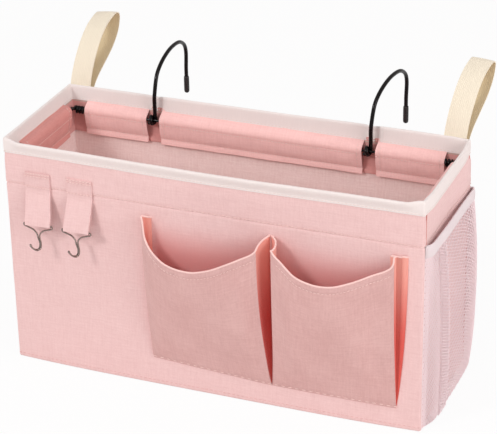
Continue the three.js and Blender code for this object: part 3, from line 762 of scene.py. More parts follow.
def lining_cloths():
    profile = [(5.75, height) for height in steps_between(6.5, 186.5, 4.2)][::-1]
    profile += [(6.3, 5.7), (7.6, 5.2), (10.0, 5.05)]
    lining = cloth("lining", swept(profile, lining_wave), LINING, 0.7, closed=True)
    laid(lining, "lining_fabric", [side + "_lining" for side in SIDES], (ROUND_BOX, 187), "hung", ["back_board"])

    def height(x, y):
        return 5.0 + 0.5 * rippled((x, y), 13, 45.0)

    floor = cloth("base_lining_cloth", flat_rows(193.4, 61.9, 5.0, height), LINING, 0.5)
    laid(floor, "lining_fabric", ["base_lining"], (387, 124), "laid", ["base_board"])


# Sleeve over the frame wire
SLEEVE_SECTION = [
    (3.4, 217.0), (3.8, 215.0), (4.7, 213.4), (6.4, 212.2), (8.4, 211.2), (10.3, 210.1),
    (11.8, 208.8), (12.7, 207.1), (13.0, 205.4), (12.8, 203.9), (12.3, 202.4), (12.3, 201.0),
    (12.2, 198.6), (11.8, 195.4), (11.1, 192.2), (10.2, 189.6), (9.3, 187.8), (8.9, 187.0),
    (9.2, 186.1), (9.4, 184.2), (9.5, 181.8),
]
BACK_WIRE, SIDE_WIRE = 206.0, 208.7


def raised(wire, z):
    """How far the sleeve is lifted there to lie over its wire."""
    return (wire - BACK_WIRE) * eased(z, 202, 206)


def sleeve(name, wall, start, end, wire, seed):
    """A strip sewn below the rim, over the wire, and again above its loose lower edge."""

    def place(run, inset, z):
        edge = min(run - start, end - run)
        lift = raised(wire, z) * (1 - eased(z, 210, 215))
        below = band(z, 188, 192, 199, 202)
        above = band(z, 203, 206, 209, 213)
        gathers = ripple((run, 0.35 * z), seed, 7.0) * 0.3
        folds = ripple((run * 1.4 + 0.4 * z, z), seed + 1, 18.0) * 0.5
        flap = 1 - eased(z, 183, 188)
        wave = (0.5 + ripple((run, 0), seed + 2, 26.0)) * 0.7
        push = below * (folds + gathers) + above * gathers * 0.8
        push -= 0.35 * hump(edge, 4.5, 1.2) * band(z, 189, 193, 209, 212)
        drop = flap * 0.35 * ripple((run, 0), seed + 3, 30.0)
        return WALLS[wall](run, inset + push + flap * wave, z + lift + drop)

    rows = [[place(run, inset, z) for run in steps_between(start, end, 2.4)] for inset, z in SLEEVE_SECTION]
    # the left sleeve takes the painted-shade copy of the sleeve cloth
    strip = cloth(name + "_cloth", rows, SLEEVE_SHADE if wall == "left" else SLEEVE_PINK, 0.8)
    laid(strip, "pink_fabric", [name], (end - start, 43), "hung", ["frame_back_rod_wire"])


SLEEVES = (
    ("sleeve_front", "front", -177.1, 177.1, SIDE_WIRE),
    ("sleeve_right", "right", -45.6, 45.6, SIDE_WIRE),
    ("sleeve_left", "left", -45.6, 45.6, SIDE_WIRE),
    ("sleeve_back_left", "back", 114.3, 179.2, BACK_WIRE),
    ("sleeve_back_middle", "back", -100.7, 101.0, BACK_WIRE),
    ("sleeve_back_right", "back", -179.2, -114.0, BACK_WIRE),
)


def backing_wave(run, _place, height, _order):
    return -0.25 * rippled((run, height), 15, 18.0) * (1 - eased(height, 206, 211)), 0.0


def sleeves_and_backing():
    for order, strip in enumerate(SLEEVES):
        sleeve(*strip, 20 + 5 * order)
    profile = [(3.3, 216.5), (3.7, 214.0), (4.4, 211.0), (5.4, 207.0)]
    profile += [(5.7, z) for z in (203.0, 199.0, 195.0, 191.0, 188.6)]
    profile += [(6.0, 187.2), (6.6, 185.8), (6.8, 183.8), (6.8, 182.0)]
    backing = cloth("sleeve_backing_cloth", swept(profile, backing_wave), PINK_SHADE, 0.6, closed=True)
    nodes = ["sleeve_backing_" + side for side in SIDES]
    laid(backing, "pink_fabric", nodes, (ROUND_BOX, 34), "hung", ["outer_shell"])


# Wires
ROD_Y, ROD_HEIGHT, ROD_HALF = 57.6, 206.0, 193.7
SIDE_WIRE_X = 189.1
FRAME_WIRE, HOOK_WIRE = 2.4, 3.8


def rounded_route(points, radius, steps):
    """Each corner of a route becomes a short curve."""
    route = [points[0]]
    for before, corner, after in zip(points, points[1:], points[2:]):
        reach = min(radius, (before - corner).length / 2, (after - corner).length / 2)
        start = corner + (before - corner).normalized() * reach
        end = corner + (after - corner).normalized() * reach
        for step in range(steps + 1):
            t = step / steps
            route.append(start * (1 - t) ** 2 + corner * 2 * t * (1 - t) + end * t * t)
    route.append(points[-1])
    return route


def round_rod(x, radius, angle):
    """A place on wire that is wound round the back rod."""
    return Vector((x, ROD_Y + radius * cos(angle), ROD_HEIGHT + radius * sin(angle)))


def frame_wires():
    rod = [Vector((x, ROD_Y, ROD_HEIGHT)) for x in steps_between(-ROD_HALF, ROD_HALF, 12.0)]
    rode(tube("frame_back_rod_wire", rod, FRAME_WIRE / 2, ENAMEL), "basket", "black_wire", "frame_back_rod")
    coil_radius, pitch, turns, steps = 2.7, 2.9, 3, 22

    def coil(side):
        turned = [step / steps for step in range(turns * steps + 1)]
        return [
            round_rod(side * (SIDE_WIRE_X - turn * pitch), coil_radius, pi / 2 - turn * TAU) for turn in turned
        ]

    height = ROD_HEIGHT + coil_radius
    back_y = ROD_Y - coil_radius
    bends = ((-SIDE_WIRE_X, back_y), (-SIDE_WIRE_X, -ROD_Y), (SIDE_WIRE_X, -ROD_Y), (SIDE_WIRE_X, back_y))
    front = rounded_route([Vector((x, y, height)) for x, y in bends], 12.0, 8)
    wire = tube("frame_side_wire_bent", coil(-1)[::-1] + front + coil(1), FRAME_WIRE / 2, ENAMEL, sides=12)
    rode(wire, "basket", "black_wire", "frame_side_wire")


# Rail hooks
# Round the arch: shares of its reach and its rise
HOOK_SHARES = [
    (0, 0.2), (0, 0.38), (0.02, 0.48), (0.05, 0.605), (0.11, 0.755), (0.225, 0.868),
    (0.39, 0.955), (0.59, 1), (0.83, 0.97), (0.975, 0.85), (1.02, 0.72), (1.01, 0.41),
]
HOOK_REACH, HOOK_RISE = 75.0, 57.5
HOOKS = (("left", -107.0, 0.0), ("right", 108.0, radians(7)))
EYE_RADIUS, EYE_PITCH, EYE_STEPS = 3.2, 3.9, 40
LEG_END, CAP_LOW = 209.5, 204.0
# Up the cap: rise and radius
CAP_RADII = [
    (0.0, 0.35), (0.25, 1.3), (0.9, 2.1), (1.9, 2.5), (3.4, 2.6), (14.0, 2.6), (16.4, 2.5), (17.2, 2.3), (17.5, 1.95),
]


def rail_hook(side, place, yaw):
    """A wound eye on the rod, a stem past the rim and an arch to the capped leg."""
    start, leave = radians(-450), radians(38)
    turned = (leave - start) / TAU
    points = []
    for step in range(EYE_STEPS + 1):
        share = step / EYE_STEPS
        x = place + 0.6 + (share - 1) * turned * EYE_PITCH
        points.append(round_rod(x, EYE_RADIUS, start + share * turned * TAU))
    last = points[-1]
    bend, bend_steps = 4.0, 6
    for step in range(1, bend_steps + 1):
        angle = leave * (1 - step / bend_steps)
        forward = bend * (cos(angle) - cos(leave))
        points.append(Vector((last.x, last.y - forward, last.z + bend * (sin(leave) - sin(angle)))))
    top = points[-1]
    arch = [top]
    for reach_share, rise_share in HOOK_SHARES:
        reach = reach_share * HOOK_REACH
        x, y = top.x + sin(yaw) * reach, top.y + cos(yaw) * reach
        arch.append(Vector((x, y, ROD_HEIGHT + rise_share * HOOK_RISE)))
    arch = evenly(curve_through(arch, 10), 2.6)
    leg = Vector((arch[-1].x, arch[-1].y, LEG_END))
    body = side + "_rail_hook"
    wire = tube(f"hook_{side}_wire", points + arch[1:] + [leg], HOOK_WIRE / 2, ENAMEL, sides=16)
    rode(wire, body, "black_wire", "hook_" + side)
    cap_line = [Vector((leg.x, leg.y, CAP_LOW + rise)) for rise, _ in CAP_RADII]
    cap = tube(f"hook_{side}_cap", cap_line, [radius for _, radius in CAP_RADII], RUBBER, 20, False)
    rode(cap, body, "black_rubber", "hook_tip_" + side)


# Webbing loops
# Round the loop: shares of its reach behind the rim and of its rise
LOOP_SHARES = [
    (0.11, 0.45), (0.33, 0.73), (0.57, 0.91), (0.8, 0.99), (0.93, 1), (1, 0.95), (0.99, 0.86),
    (0.93, 0.73), (0.74, 0.55), (0.46, 0.39), (0.23, 0.26), (0.08, 0.12),
]
WEBBING_WIDTH, WEBBING_THICK = 20.8, 1.2
LOOP_X, LOOP_NEAR, LOOP_FAR = 188.5, 69.7, 71.2
LOOP_REACH, LOOP_RISE = 70.0, 64.0


def ribbon(name, line, width, finish, thick, bow, across, twist, inside=None):
    """A strap along a line in the plane of y and z, its width along x. bow crowns it across."""
    centre_line = evenly(line, 2.4)
    last = len(centre_line) - 1
    rows = []
    for i, (point, heading) in enumerate(zip(centre_line, along_line(centre_line))):
        out = Vector((1, 0, 0)).cross(heading).normalized()
        row = []
        for k in range(across + 1):
            spot = 2 * k / across - 1
            shift = Vector((spot * width / 2, 0, 0)) + out * (bow * (1 - spot * spot) + twist(i / last) * spot)
            row.append(point + shift)
        rows.append(row)
    return cloth(name, rows, finish, thick, offset=0, sharp=50, inside=inside)


def folding(strap, nodes, x):
    """A strap sewn on the basket's wall: the parts that it replaces are hidden, and its place is worked into its
    mesh.
    """
    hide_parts(*nodes)
    x * MM
    x * MM
    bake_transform(strap)


def webbing_loop(side, x):
    """A strap sewn in behind the rim, out over the back and down again. The right one leans out."""
    tilt, inwards, lean = (6.0, 3.4, -0.8) if side == "right" else (0.0, 0.0, 1.1)
    x -= inwards
    line = [(0, 68.35, 190.0), (0, 68.35, 197.0), (0, 68.35, 204.0), (0, 68.7, 209.5)]
    line += [(0, LOOP_NEAR, z) for z in (213.8, 220.4, 227.0)]
    line += [(y * tilt, LOOP_NEAR + y * LOOP_REACH, BINDING_BOTTOM + z * LOOP_RISE) for y, z in LOOP_SHARES]
    line += [(0, LOOP_FAR, 213.8), (0, 70.2, 209.5), (0, 69.75, 204.0), (0, 69.75, 197.0), (0, 69.75, 190.6)]
    strap = ribbon(
        f"loop_{side}_webbing", curve_through([(x + aside, y, z) for aside, y, z in line], 8),
        WEBBING_WIDTH, WEBBING, WEBBING_THICK, 0.35, across=6,
        twist=lambda share: lean * sin(pi * share) ** 2, inside=WEBBING_INSIDE,
    )
    nodes = ["loop_" + side, f"loop_{side}_end"]
    folding(strap, nodes, x)


# Tabs and their clips
TAB_WIDTH, TAB_TURN_Y, TAB_SEAM = 25.0, -68.9, 181
TABS = (("left", -166.6, 3.4), ("right", -124.4, 0.0))
CLIP_Y, CLIP_HEIGHT, CLIP_WIRE = -80.5, 151.0, 1.5
# Down the front of a tab from its sewn top, round the clip's bar and up again: y and height
TAB_LINE = [
    (-69.55, 197.2), (-69.6, 193.0), (-69.6, 186.0), (-69.65, 181.0), (-69.95, 178.3), (-71.3, 175.0),
    (-74.4, 167.8), (-78.0, 159.8), (-81.3, 152.8), (-82.3, 150.6), (-81.4, 149.2), (-80.1, 149.1),
    (-79.0, 150.2), (-79.2, 152.4), (-76.2, 159.0), (-72.6, 167.0), (-69.8, 173.5), (-68.5, 177.6),
    (-68.3, 181.0), (-68.3, 189.0), (-68.3, 196.2),
]


def tab(side, x, lean, seed):
    """One folded strip: sewn at the top, turned at the lower row, folded round the clip's bar.
    lean is how far it has moved aside where the clip hangs."""
    line = [(x + lean * (1 - eased(z, CLIP_HEIGHT, TAB_SEAM)), y, z) for y, z in TAB_LINE]
    strip = ribbon(
        f"tab_{side}_strip", curve_through(line, 4), TAB_WIDTH, TAB_PINK, 0.95, 0.3, across=8,
        twist=lambda share: 0.35 * sin(3 * share + seed) * sin(pi * share),
    )
    nodes = ["tab_" + side, f"tab_{side}_top"]
    folding(strip, nodes, x)


def clip(side, x):
    """A bar in the tab's fold, two arms to a neck, and a doubled wire turned up into a hook."""
    pair, half_bar, stem_end, lean = 0.95, 14.5, -20.8, 1.5
    aside, sway, tip_steps = radians(-32), 2.6, 6
    # Along the hook from the stem: reach to the front and rise
    hook = [(1.4, 1.0), (1.5, 0.0), (2.0, -1.5), (3.2, -2.7), (4.9, -3.0), (7.0, -2.2), (9.4, -0.2), (11.4, 2.7)]
    arms = evenly(rounded_route([
        Vector((0.3, 0, 0)), Vector((half_bar, 0, 0)), Vector((half_bar, 0, -2.4)),
        Vector((0.34 * half_bar, 0, -5.4)), Vector((pair, 0, -9.6)), Vector((pair, -lean, stem_end)),
    ], 2.4, 6), 0.8)
    bar_and_stem = len(arms)
    arms += curve_through([(pair, -reach, stem_end + rise) for reach, rise in hook], 4)[5:]
    tip = arms[-1] + Vector((0, -0.2, 0.7))
    for step in range(tip_steps + 1):
        angle = pi / 2 * step / tip_steps
        arms.append(Vector((pair * cos(angle), tip.y, tip.z + pair * sin(angle))))
    route = arms + [Vector((-point.x, point.y, point.z)) for point in arms[::-1]][1:]
    middle = Vector((x, CLIP_Y, CLIP_HEIGHT))
    for k, point in enumerate(route):
        in_hook = bar_and_stem <= k < len(route) - bar_and_stem
        share = 1.0 if in_hook else 1 - eased(point.z, stem_end + 1, -11)
        route[k] = middle + Matrix.Rotation(aside * share, 3, "Z") @ point + Vector((sway * share, 0, 0))
    wire = tube(f"clip_{side}_wire", route, CLIP_WIRE / 2, CHROME, sides=12)
    rode(wire, side + "_clip", "bright_wire", "clip_" + side)


# Front pockets
POCKET_CLOTH, POCKET_TOP, SEWN_Y = 1.2, 170.5, -68.3
HEM_RADIUS, WELT_RADIUS, SEAM_RADIUS = 0.85, 0.45, 0.42
POCKET_WIDE, POCKET_TALL, PLEAT_TALL, HEM_WIDE = 117, 155, 150, 6.7
BULGE_POWER = 0.8
# What a face's hollow rim and a pleat's narrow foot leave of their rectangles
FACE_SHARE, PLEAT_SHARE = 0.86, 0.72
# Soft ridges and hollows down each face: share across it, half width, depth
POCKET_FOLDS = {
    "left": ((0.80, 0.20, 3.4), (0.45, 0.22, -1.2)),
    "right": ((0.84, 0.17, -2.6), (0.62, 0.16, 1.4), (0.13, 0.13, 1.6)),
}
# Along each rim from left to right: place along the wall, distance from it, height
POCKET_RIMS = {
    "left": [
        (-60.0, 9.9, 174.6), (-58.5, 11.1, 171.1), (-57.8, 11.6, 166.5), (-57.3, 11.9, 161.7),
        (-56.1, 12.7, 156.1), (-52.9, 14.5, 150.5), (-47.0, 17.1, 144.5), (-35.8, 20.5, 137.9),
        (-25.0, 22.8, 135.3), (-14.4, 24.5, 134.9), (-4.3, 25.2, 135.6), (11.8, 25.7, 141.3),
        (25.3, 25.3, 148.2), (39.6, 24.4, 156.1), (49.7, 22.9, 161.6), (53.1, 22.3, 164.5),
        (54.3, 22.0, 166.4),
    ],
    "right": [
        (68.3, 22.0, 168.6), (71.0, 22.2, 165.0), (77.1, 22.5, 159.4), (88.1, 22.5, 148.7),
        (94.4, 22.3, 145.2), (107.0, 21.5, 141.8), (117.7, 20.7, 141.4), (126.7, 20.0, 142.9),
        (140.3, 17.9, 147.9), (157.9, 13.5, 156.0), (168.4, 10.5, 160.4), (173.3, 8.3, 163.6),
        (174.9, 7.5, 167.0), (175.4, 7.3, 172.0), (175.6, 7.2, 174.3),
    ],
}
# The ends of each sewn foot: place along the wall and height
POCKET_FEET = {"left": ((-56.8, 28.0), (60.2, 21.5)), "right": ((61.4, 21.7), (177.6, 21.0))}
# The tops of the pleated sides, from the wall out to the face
PLEAT_TOPS = {
    ("left", -1): [
        (-55.2, 0.0, 170.8), (-56.6, 3.0, 172.0), (-60.6, 5.0, 173.0), (-61.8, 7.0, 173.8), (-60.0, 9.9, 174.6),
    ],
    ("left", 1): [
        (59.3, 0.0, 171.9), (58.6, 3.5, 171.9), (56.6, 8.0, 171.0), (54.7, 15.0, 169.0), (54.3, 22.0, 166.4),
    ],
    ("right", -1): [
        (60.6, 0.0, 171.6), (63.4, 3.0, 171.4), (66.3, 6.5, 171.0), (68.8, 13.0, 169.6), (69.0, 18.0, 168.6),
        (68.3, 22.0, 168.6),
    ],
    ("right", 1): [
        (186.2, 0.0, 172.4), (185.2, 2.2, 173.2), (183.2, 2.5, 173.4), (181.5, 1.7, 172.4), (180.7, 1.2, 171.8),
        (176.5, 1.7, 172.0), (172.6, 2.7, 172.4), (171.8, 3.6, 172.8), (173.2, 4.4, 173.2), (177.0, 5.6, 173.8),
        (175.6, 7.2, 174.3),
    ],
}
# Close rows at the hem, as distances below the rim, and at the foot, as heights above it
HEM_ROWS = [HEM_WIDE + rise for rise in (2.6, 1.2, 0.5, 0.0, -0.5, -1.2)] + [3.4, 1.5, 0.5, 0.0]
FOOT_ROWS = [0.0, 0.8, 1.6, 2.4, 4.0, 6.5]


def opened_at(z, foot):
    """How far a pocket has opened at a height: 0 at its foot, 1 at its top."""
    rise = max(0.0, min(1.0, (z - foot) / (POCKET_TOP - foot)))
    return sin(pi / 2 * rise ** BULGE_POWER)


def rim_stations(side):
    """Places along a rim, each with its share of the way across."""
    line = evenly(curve_through(POCKET_RIMS[side], 12), 2.2)
    wide = line[-1].x - line[0].x
    last = len(line) - 1
    return [(point, 0.9 * (point.x - line[0].x) / wide + 0.1 * k / last) for k, point in enumerate(line)]


def foot_at(side, share):
    (low_x, low_z), (high_x, high_z) = POCKET_FEET[side]
    return low_x + (high_x - low_x) * share, low_z + (high_z - low_z) * share


def pocket_point(side, station, z):
    """A place on a pocket's face, with its slack, its hem and its drawn-in foot."""
    rim, share = station
    foot_x, foot_z = foot_at(side, share)
    opened = opened_at(z, foot_z) / opened_at(rim.z, foot_z)
    seed = 60 if side == "left" else 70
    run = share * POCKET_WIDE
    edge = min(share, 1 - share) * POCKET_WIDE
    slack = 1.0 * ripple((run, z * 0.55), seed, 46.0) + 0.5 * ripple((run + 0.3 * z, z * 0.3), seed + 1, 17.0)
    level = band(z, foot_z + 10, foot_z + 60, rim.z - 30, rim.z - 4)
    slack += level * sum(depth * hump(share, middle, half) for middle, half, depth in POCKET_FOLDS[side])
    free = eased(edge, 0, 16) * eased(z, foot_z + 3, foot_z + 30)
    below = rim.z - z
    hem = 0.45 * (1 - eased(below, HEM_WIDE, HEM_WIDE + 1.0)) - 0.6 * hump(below, HEM_WIDE, 0.7)
    pinch = -0.5 * hump(z, foot_z + 1.6, 1.2)
    pinch += 0.5 * hump(z, foot_z + 6.5, 4.0) * rippled((run, 0), seed + 2, 9.0)
    out = max(rim.y * opened + free * slack + hem * eased(edge, 0, 5) + max(pinch, -0.3), 0.2)
    x = foot_x + (rim.x - foot_x) * opened
    return Vector((x, SEWN_Y - out - front_bow(x, z), z))


def pocket_face(side):
    columns = []
    for station in rim_stations(side):
        rim, share = station
        foot = foot_at(side, share)[1]
        low, high = foot + FOOT_ROWS[-1], rim.z - HEM_ROWS[0]
        heights = [foot + rise for rise in FOOT_ROWS]
        heights += [low + (high - low) * part for part in steps_between(0, 1, 1 / 30)[1:-1]]
        heights += [rim.z - below for below in HEM_ROWS]
        columns.append([pocket_point(side, station, z) for z in heights])
    rows = [list(row) for row in zip(*columns)]
    face = cloth(f"pocket_{side}_front", rows, POCKET, POCKET_CLOTH, offset=0, inside=POCKET_INSIDE)
    area = POCKET_WIDE * MM * POCKET_TALL * MM * FACE_SHARE
    nodes = [f"pocket_{side}_face"]
    laid(face, "pocket_fabric", nodes, (POCKET_WIDE, POCKET_TALL), "hung", ["outer_shell"], area=area)


def pleat_line(side, hand):
    return evenly(curve_through(PLEAT_TOPS[side, hand], 8), 0.8)


def pleat_point(side, hand, top, z):
    """A place on a pleated side below a spot of its top, as open as the face beside it."""
    foot_x, foot_z = foot_at(side, 0 if hand < 0 else 1)
    opened = opened_at(z, foot_z) / opened_at(PLEAT_TOPS[side, hand][-1][2], foot_z)
    x = foot_x + (top.x - foot_x) * opened - hand * 0.4
    return Vector((x, SEWN_Y - front_bow(x, z) - max(top.y * opened - 0.3, 0.0), z))


def pocket_side(side, hand):
    """A pleated side, from the wall to the face's edge."""
    tops = pleat_line(side, hand)
    lowest = foot_at(side, 0 if hand < 0 else 1)[1] + FOOT_ROWS[3]
    rows = []
    for part in steps_between(0, 1, 1 / 36):
        row = [pleat_point(side, hand, top, lowest + part * (top.z - lowest)) for top in tops]
        rows.append(row if hand < 0 else row[::-1])
    name = f"pocket_{side}_gusset_" + ("left" if hand < 0 else "right")
    piece = cloth(name + "_cloth", rows, POCKET_SIDE, 0.9, offset=0)
    wide = distances(tops)[-1]
    area = wide * MM * PLEAT_TALL * MM * PLEAT_SHARE
    laid(piece, "pocket_fabric", [name], (wide, PLEAT_TALL), "folded", ["outer_shell"], area=area)


def pocket_hem(side):
    """The turned edge, run along the scoop and back to the wall over both pleats."""
    face = [pocket_point(side, station, station[0].z) + Vector((0, 0, 0.2)) for station in rim_stations(side)]
    left, right = (
        [pleat_point(side, hand, top, top.z) for top in pleat_line(side, hand)][:-2] for hand in (-1, 1)
    )
    hem = tube(f"pocket_{side}_hem", evenly(left + face + right[::-1], 1.2), HEM_RADIUS, HEM, sides=10)
    rode(hem, "basket", "pocket_fabric")


# Mesh pocket on the right end
# Along its upper edge from front to back, with how far the net swells below each place
MESH_TOP_LINE = [
    (199.7, -65.6, 0.0), (202.6, -63.6, 1.0), (204.8, -59.0, 2.2), (205.4, -44.0, 2.6), (205.8, -10.0, 5.0),
    (205.4, 30.0, 6.4), (205.4, 56.0, 6.0), (205.2, 65.4, 4.6), (203.0, 68.2, 2.0), (199.6, 68.0, 0.0),
]
# Along its lower edge
MESH_LOW_LINE = [
    (199.7, -65.0), (201.7, -61.0), (205.9, -50.5), (206.8, -38.0), (207.6, 0.0),
    (207.8, 28.7), (207.4, 50.0), (206.2, 60.5), (203.6, 66.4), (199.6, 67.6),
]
MESH_SEAM_X, MESH_BOTTOM, MESH_TALL, MESH_RUN, MESH_PITCH = 199.5, 2.2, 172.0, 142.0, 3.1
# How far below its lower edge, as a share of its height, the net runs on over the floor
FLOOR_UP = -0.05
NET_STATIONS, TAPE_STATIONS = 240, 120
TAPE_LOW, TAPE_DROP, TAPE_TALL, PUCKER_PITCH = 172.4, 4.0, 12.2, 5.5


def yarn_growth():
    """Lines become round yarn."""
    growth = Growth("yarn_net", Radius="Float")
    values = {"Resolution": 5, "Radius": growth.given["Radius"]}
    circle = growth.node("GeometryNodeCurvePrimitiveCircle", None, values)
    values = {"Curve": growth.lines, "Profile Curve": circle, "Fill Caps": True}
    return growth.ended(growth.node("GeometryNodeCurveToMesh", None, values))


YARN = yarn_growth()


def mesh_lines(count):
    """Matching places along the pocket's upper and lower edges. The z of an upper one is its swell."""
    upper = curve_through(MESH_TOP_LINE, 14)
    lower = curve_through([(x, y, 0) for x, y in MESH_LOW_LINE], 14)
    last = len(upper) - 1
    places = []
    for k in range(count + 1):
        spot = last * k / count
        start = min(int(spot), last - 1)
        places.append(tuple(line[start].lerp(line[start + 1], spot - start) for line in (upper, lower)))
    return places


def tape_low_at(share):
    return TAPE_LOW - TAPE_DROP * eased(share, 0.15, 1.0)


def mesh_place(pair, share, up):
    """A place on the swollen net: up is 0 at its lower edge, 1 under the tape, and below 0 on the floor."""
    upper, lower = pair
    if up < 0:
        inwards = min(1.0, up / FLOOR_UP)
        return Vector((lower.x + (MESH_SEAM_X - lower.x) * inwards, lower.y, MESH_BOTTOM - 0.6 * inwards))
    swell = upper.z * max(0.0, sin(pi * up)) ** 0.75
    swell += 0.9 * ripple((share * 140, up * 60), 80, 17.0) * sin(pi * up) * eased(upper.z, 0, 3)
    x = lower.x + (upper.x - lower.x) * up + swell
    y = lower.y + (upper.y - lower.y) * up
    return Vector((x, y, MESH_BOTTOM + up * (tape_low_at(share) + 2.0 - MESH_BOTTOM)))


def net(name, start, end, low, high, radius, lift, shift):
    """Crossed diagonal yarns, each going over and under, from one share of the pocket's run to another and
    from one of its height to another. lift stands the net off, and shift moves its crossings along."""
    columns = max(2, round((end - start) * MESH_RUN / MESH_PITCH))
    rows = max(2, round((high - low) * MESH_TALL / MESH_PITCH))
    places = mesh_lines(NET_STATIONS)

    def at(i, j, over):
        share = start + (end - start) * min(max(i / columns, 0.0), 1.0)
        up = low + (high - low) * min(max(j / rows, 0.0), 1.0)
        spot = share * NET_STATIONS
        first = min(int(spot), NET_STATIONS - 1)
        pair = tuple(a.lerp(b, spot - first) for a, b in zip(places[first], places[first + 1]))
        return mesh_place(pair, share, up) + Vector((lift + over * radius * 0.35, 0, 0))

    lines = []
    for first in range(-rows, columns + 1):
        rising, falling = [], []
        for j in range(rows + 1):
            i = first + j
            over = 1 if (i + j) % 2 else -1
            if 0 <= i <= columns:
                rising.append(at(i + shift, j, over))
                falling.append(at(columns - i + shift, j, -over))
        lines += [line for line in (rising, falling) if len(line) > 1]
    lines += [[at(i, edge, 0) for i in range(columns + 1)] for edge in (0, rows)]
    lines += [[at(side, j, 0) for j in range(rows + 1)] for side in (0, columns)]
    return YARN.grown(name, lines, Radius=radius * MM, Finish=NET)


def mesh_pocket():
    netting = net("mesh_net", 0.0, 1.0, FLOOR_UP, 1.0, 0.34, 0.0, 0.0)
    nodes = ["mesh_front_gusset", "mesh_face", "mesh_rear_gusset", "mesh_floor"]
    laid(netting, "white_mesh", nodes, (MESH_RUN, 180), "stretched", ["outer_shell", "mesh_elastic_tape"])
    fold = net("mesh_net_fold", 0.325, 0.39, 0.0, 1.0, 0.36, 0.9, 0.5)
    laid(fold, "white_mesh", [], (15.5, 172), "folded", ["mesh_net"])
    rows = []
    places = mesh_lines(TAPE_STATIONS)
    profile = [(0.0, 0.0), (0.55, 1.2), (0.75, 3.0), (0.8, 5.5), (0.75, 8.2), (0.5, 10.0), (0.0, TAPE_TALL)]
    for out, rise in profile:
        row = []
        for k, (upper, _) in enumerate(places):
            share = k / TAPE_STATIONS
            run = share * MESH_RUN
            away = Vector((1, 0, 0))
            if k > 0:
                step = upper - places[k - 1][0]
                away = Vector((step.y, -step.x, 0)).normalized()
            pucker = 0.28 * sin(run * TAU / PUCKER_PITCH) * ripple((run, rise), 90, 22.0)
            spot = Vector((upper.x, upper.y, 0)) + away * (out + 0.3 + pucker)
            row.append(spot + Vector((0, 0, tape_low_at(share) + rise + 0.25 * ripple((run, 0), 91, 12.0))))
        rows.append(row)
    tape = cloth("mesh_elastic_tape", rows, ELASTIC, 1.1)
    laid(tape, "binding_tape", ["mesh_binding"], (MESH_RUN, 11.5), "stretched", ["outer_shell"])
    for name, x, y, top in (("mesh_front_welt", 199.75, -65.9, 173.5), ("mesh_rear_welt", 200.0, 67.0, 170.0)):
        seam = [Vector((x, y, z)) for z in steps_between(1.5, top, 3.0)]
        rode(tube(name, seam, WELT_RADIUS, ELASTIC_PLAIN, sides=8), "basket", "white_mesh")


# Sewing
def stitch_growth():
    """A line becomes a row of short stitches, one at each pitch, lying along it."""
    growth = Growth("stitch_row", Pitch="Float", Half="Vector")
    spaced = growth.node(
        "GeometryNodeResampleCurve", {"mode": "LENGTH"}, {"Curve": growth.lines, "Length": growth.given["Pitch"]},
    )
    bead = growth.node("GeometryNodeMeshUVSphere", None, {"Segments": 6, "Rings": 4, "Radius": 1.0})
    stitch = growth.node("GeometryNodeTransform", None, {"Geometry": bead, "Scale": growth.given["Half"]})
    along = growth.node("GeometryNodeInputTangent")
    turn = growth.node("FunctionNodeAlignRotationToVector", {"axis": "Z"}, {"Vector": along})
    values = {"Points": spaced, "Instance": stitch, "Rotation": turn}
    return growth.ended(growth.node("GeometryNodeInstanceOnPoints", None, values))


STITCHES = stitch_growth()


def sewn(name, lines, finish, slot, pitch, length, thick):
    """Rows of stitches on the basket."""
    half = (thick * MM, thick * MM, length / 2 * MM)
    rode(STITCHES.grown(name, lines, Pitch=pitch * MM, Half=half, Finish=finish), "basket", slot)


def round_line(inset, height, wave):
    """A closed line round the box on a wall's surface."""
    row = swept([(inset, height)], wave)[0]
    return row + [row[0]]


def seam_stitches():
    outer = round_line(PANEL_OUT - 0.3, SEAM_OUTSIDE + 0.4, outer_wave)
    lower = round_line(PANEL_OUT - 0.05, 4.4, outer_wave)
    sewn("stitches_outer_seam", [outer], THREAD_LIGHT, "pink_fabric", 3.8, 3.2, 0.32)
    sewn("stitches_lower_edge", [lower], THREAD_PINK, "pink_fabric", 4.4, 3.2, 0.25)
    rim = [round_line(inset, RIM_ROW, binding_wave) for inset in (-0.2, 4.2)]
    sewn("stitches_rim", rim, THREAD_PALE, "binding_tape", 3.6, 2.7, 0.26)


def pocket_stitches():
    lift = Vector((0, -POCKET_CLOTH / 2 - 0.3, 0))
    hems, feet = [], []
    for side in ("left", "right"):
        stations = rim_stations(side)
        inner = [station for station in stations if 0.05 < station[1] < 0.97]
        hems.append([pocket_point(side, station, station[0].z - HEM_WIDE) + lift for station in inner])
        feet.append([
            pocket_point(side, station, foot_at(side, station[1])[1] + 1.7) + lift for station in stations[2:-1]
        ])
    sewn("stitches_pocket_hems", hems, THREAD_LIGHT, "pocket_fabric", 3.4, 2.9, 0.32)
    sewn("stitches_pocket_feet", feet, THREAD_LIGHT, "pocket_fabric", 6.4, 4.0, 0.4)


def strap_stitches():
    """Three rows across each tab, and a crossed box on each end of the webbing."""
    rows = [
        [Vector((x + side * 11.6, -70.7, height)) for side in (-1, -0.5, 0, 0.5, 1)]
        for _, x, _ in TABS
        for height in (196.3, 193.9, 183.4)
    ]
    sewn("stitches_tabs", rows, THREAD_LIGHT, "pink_fabric", 2.9, 2.4, 0.42)
    low, high, half = 192.2, 207.6, 8.4
    box_and_cross = [(-half, low), (half, low), (half, high), (-half, high), (-half, low), (half, high)]
    ends = []
    for x in (-LOOP_X, LOOP_X):
        for corners in (box_and_cross, [(-half, high), (half, low)]):
            ends.append([Vector((x + across, 70.45, z)) for across, z in corners])
    sewn("stitches_webbing", ends, THREAD_PALE, "cream_webbing", 3.2, 2.5, 0.28)


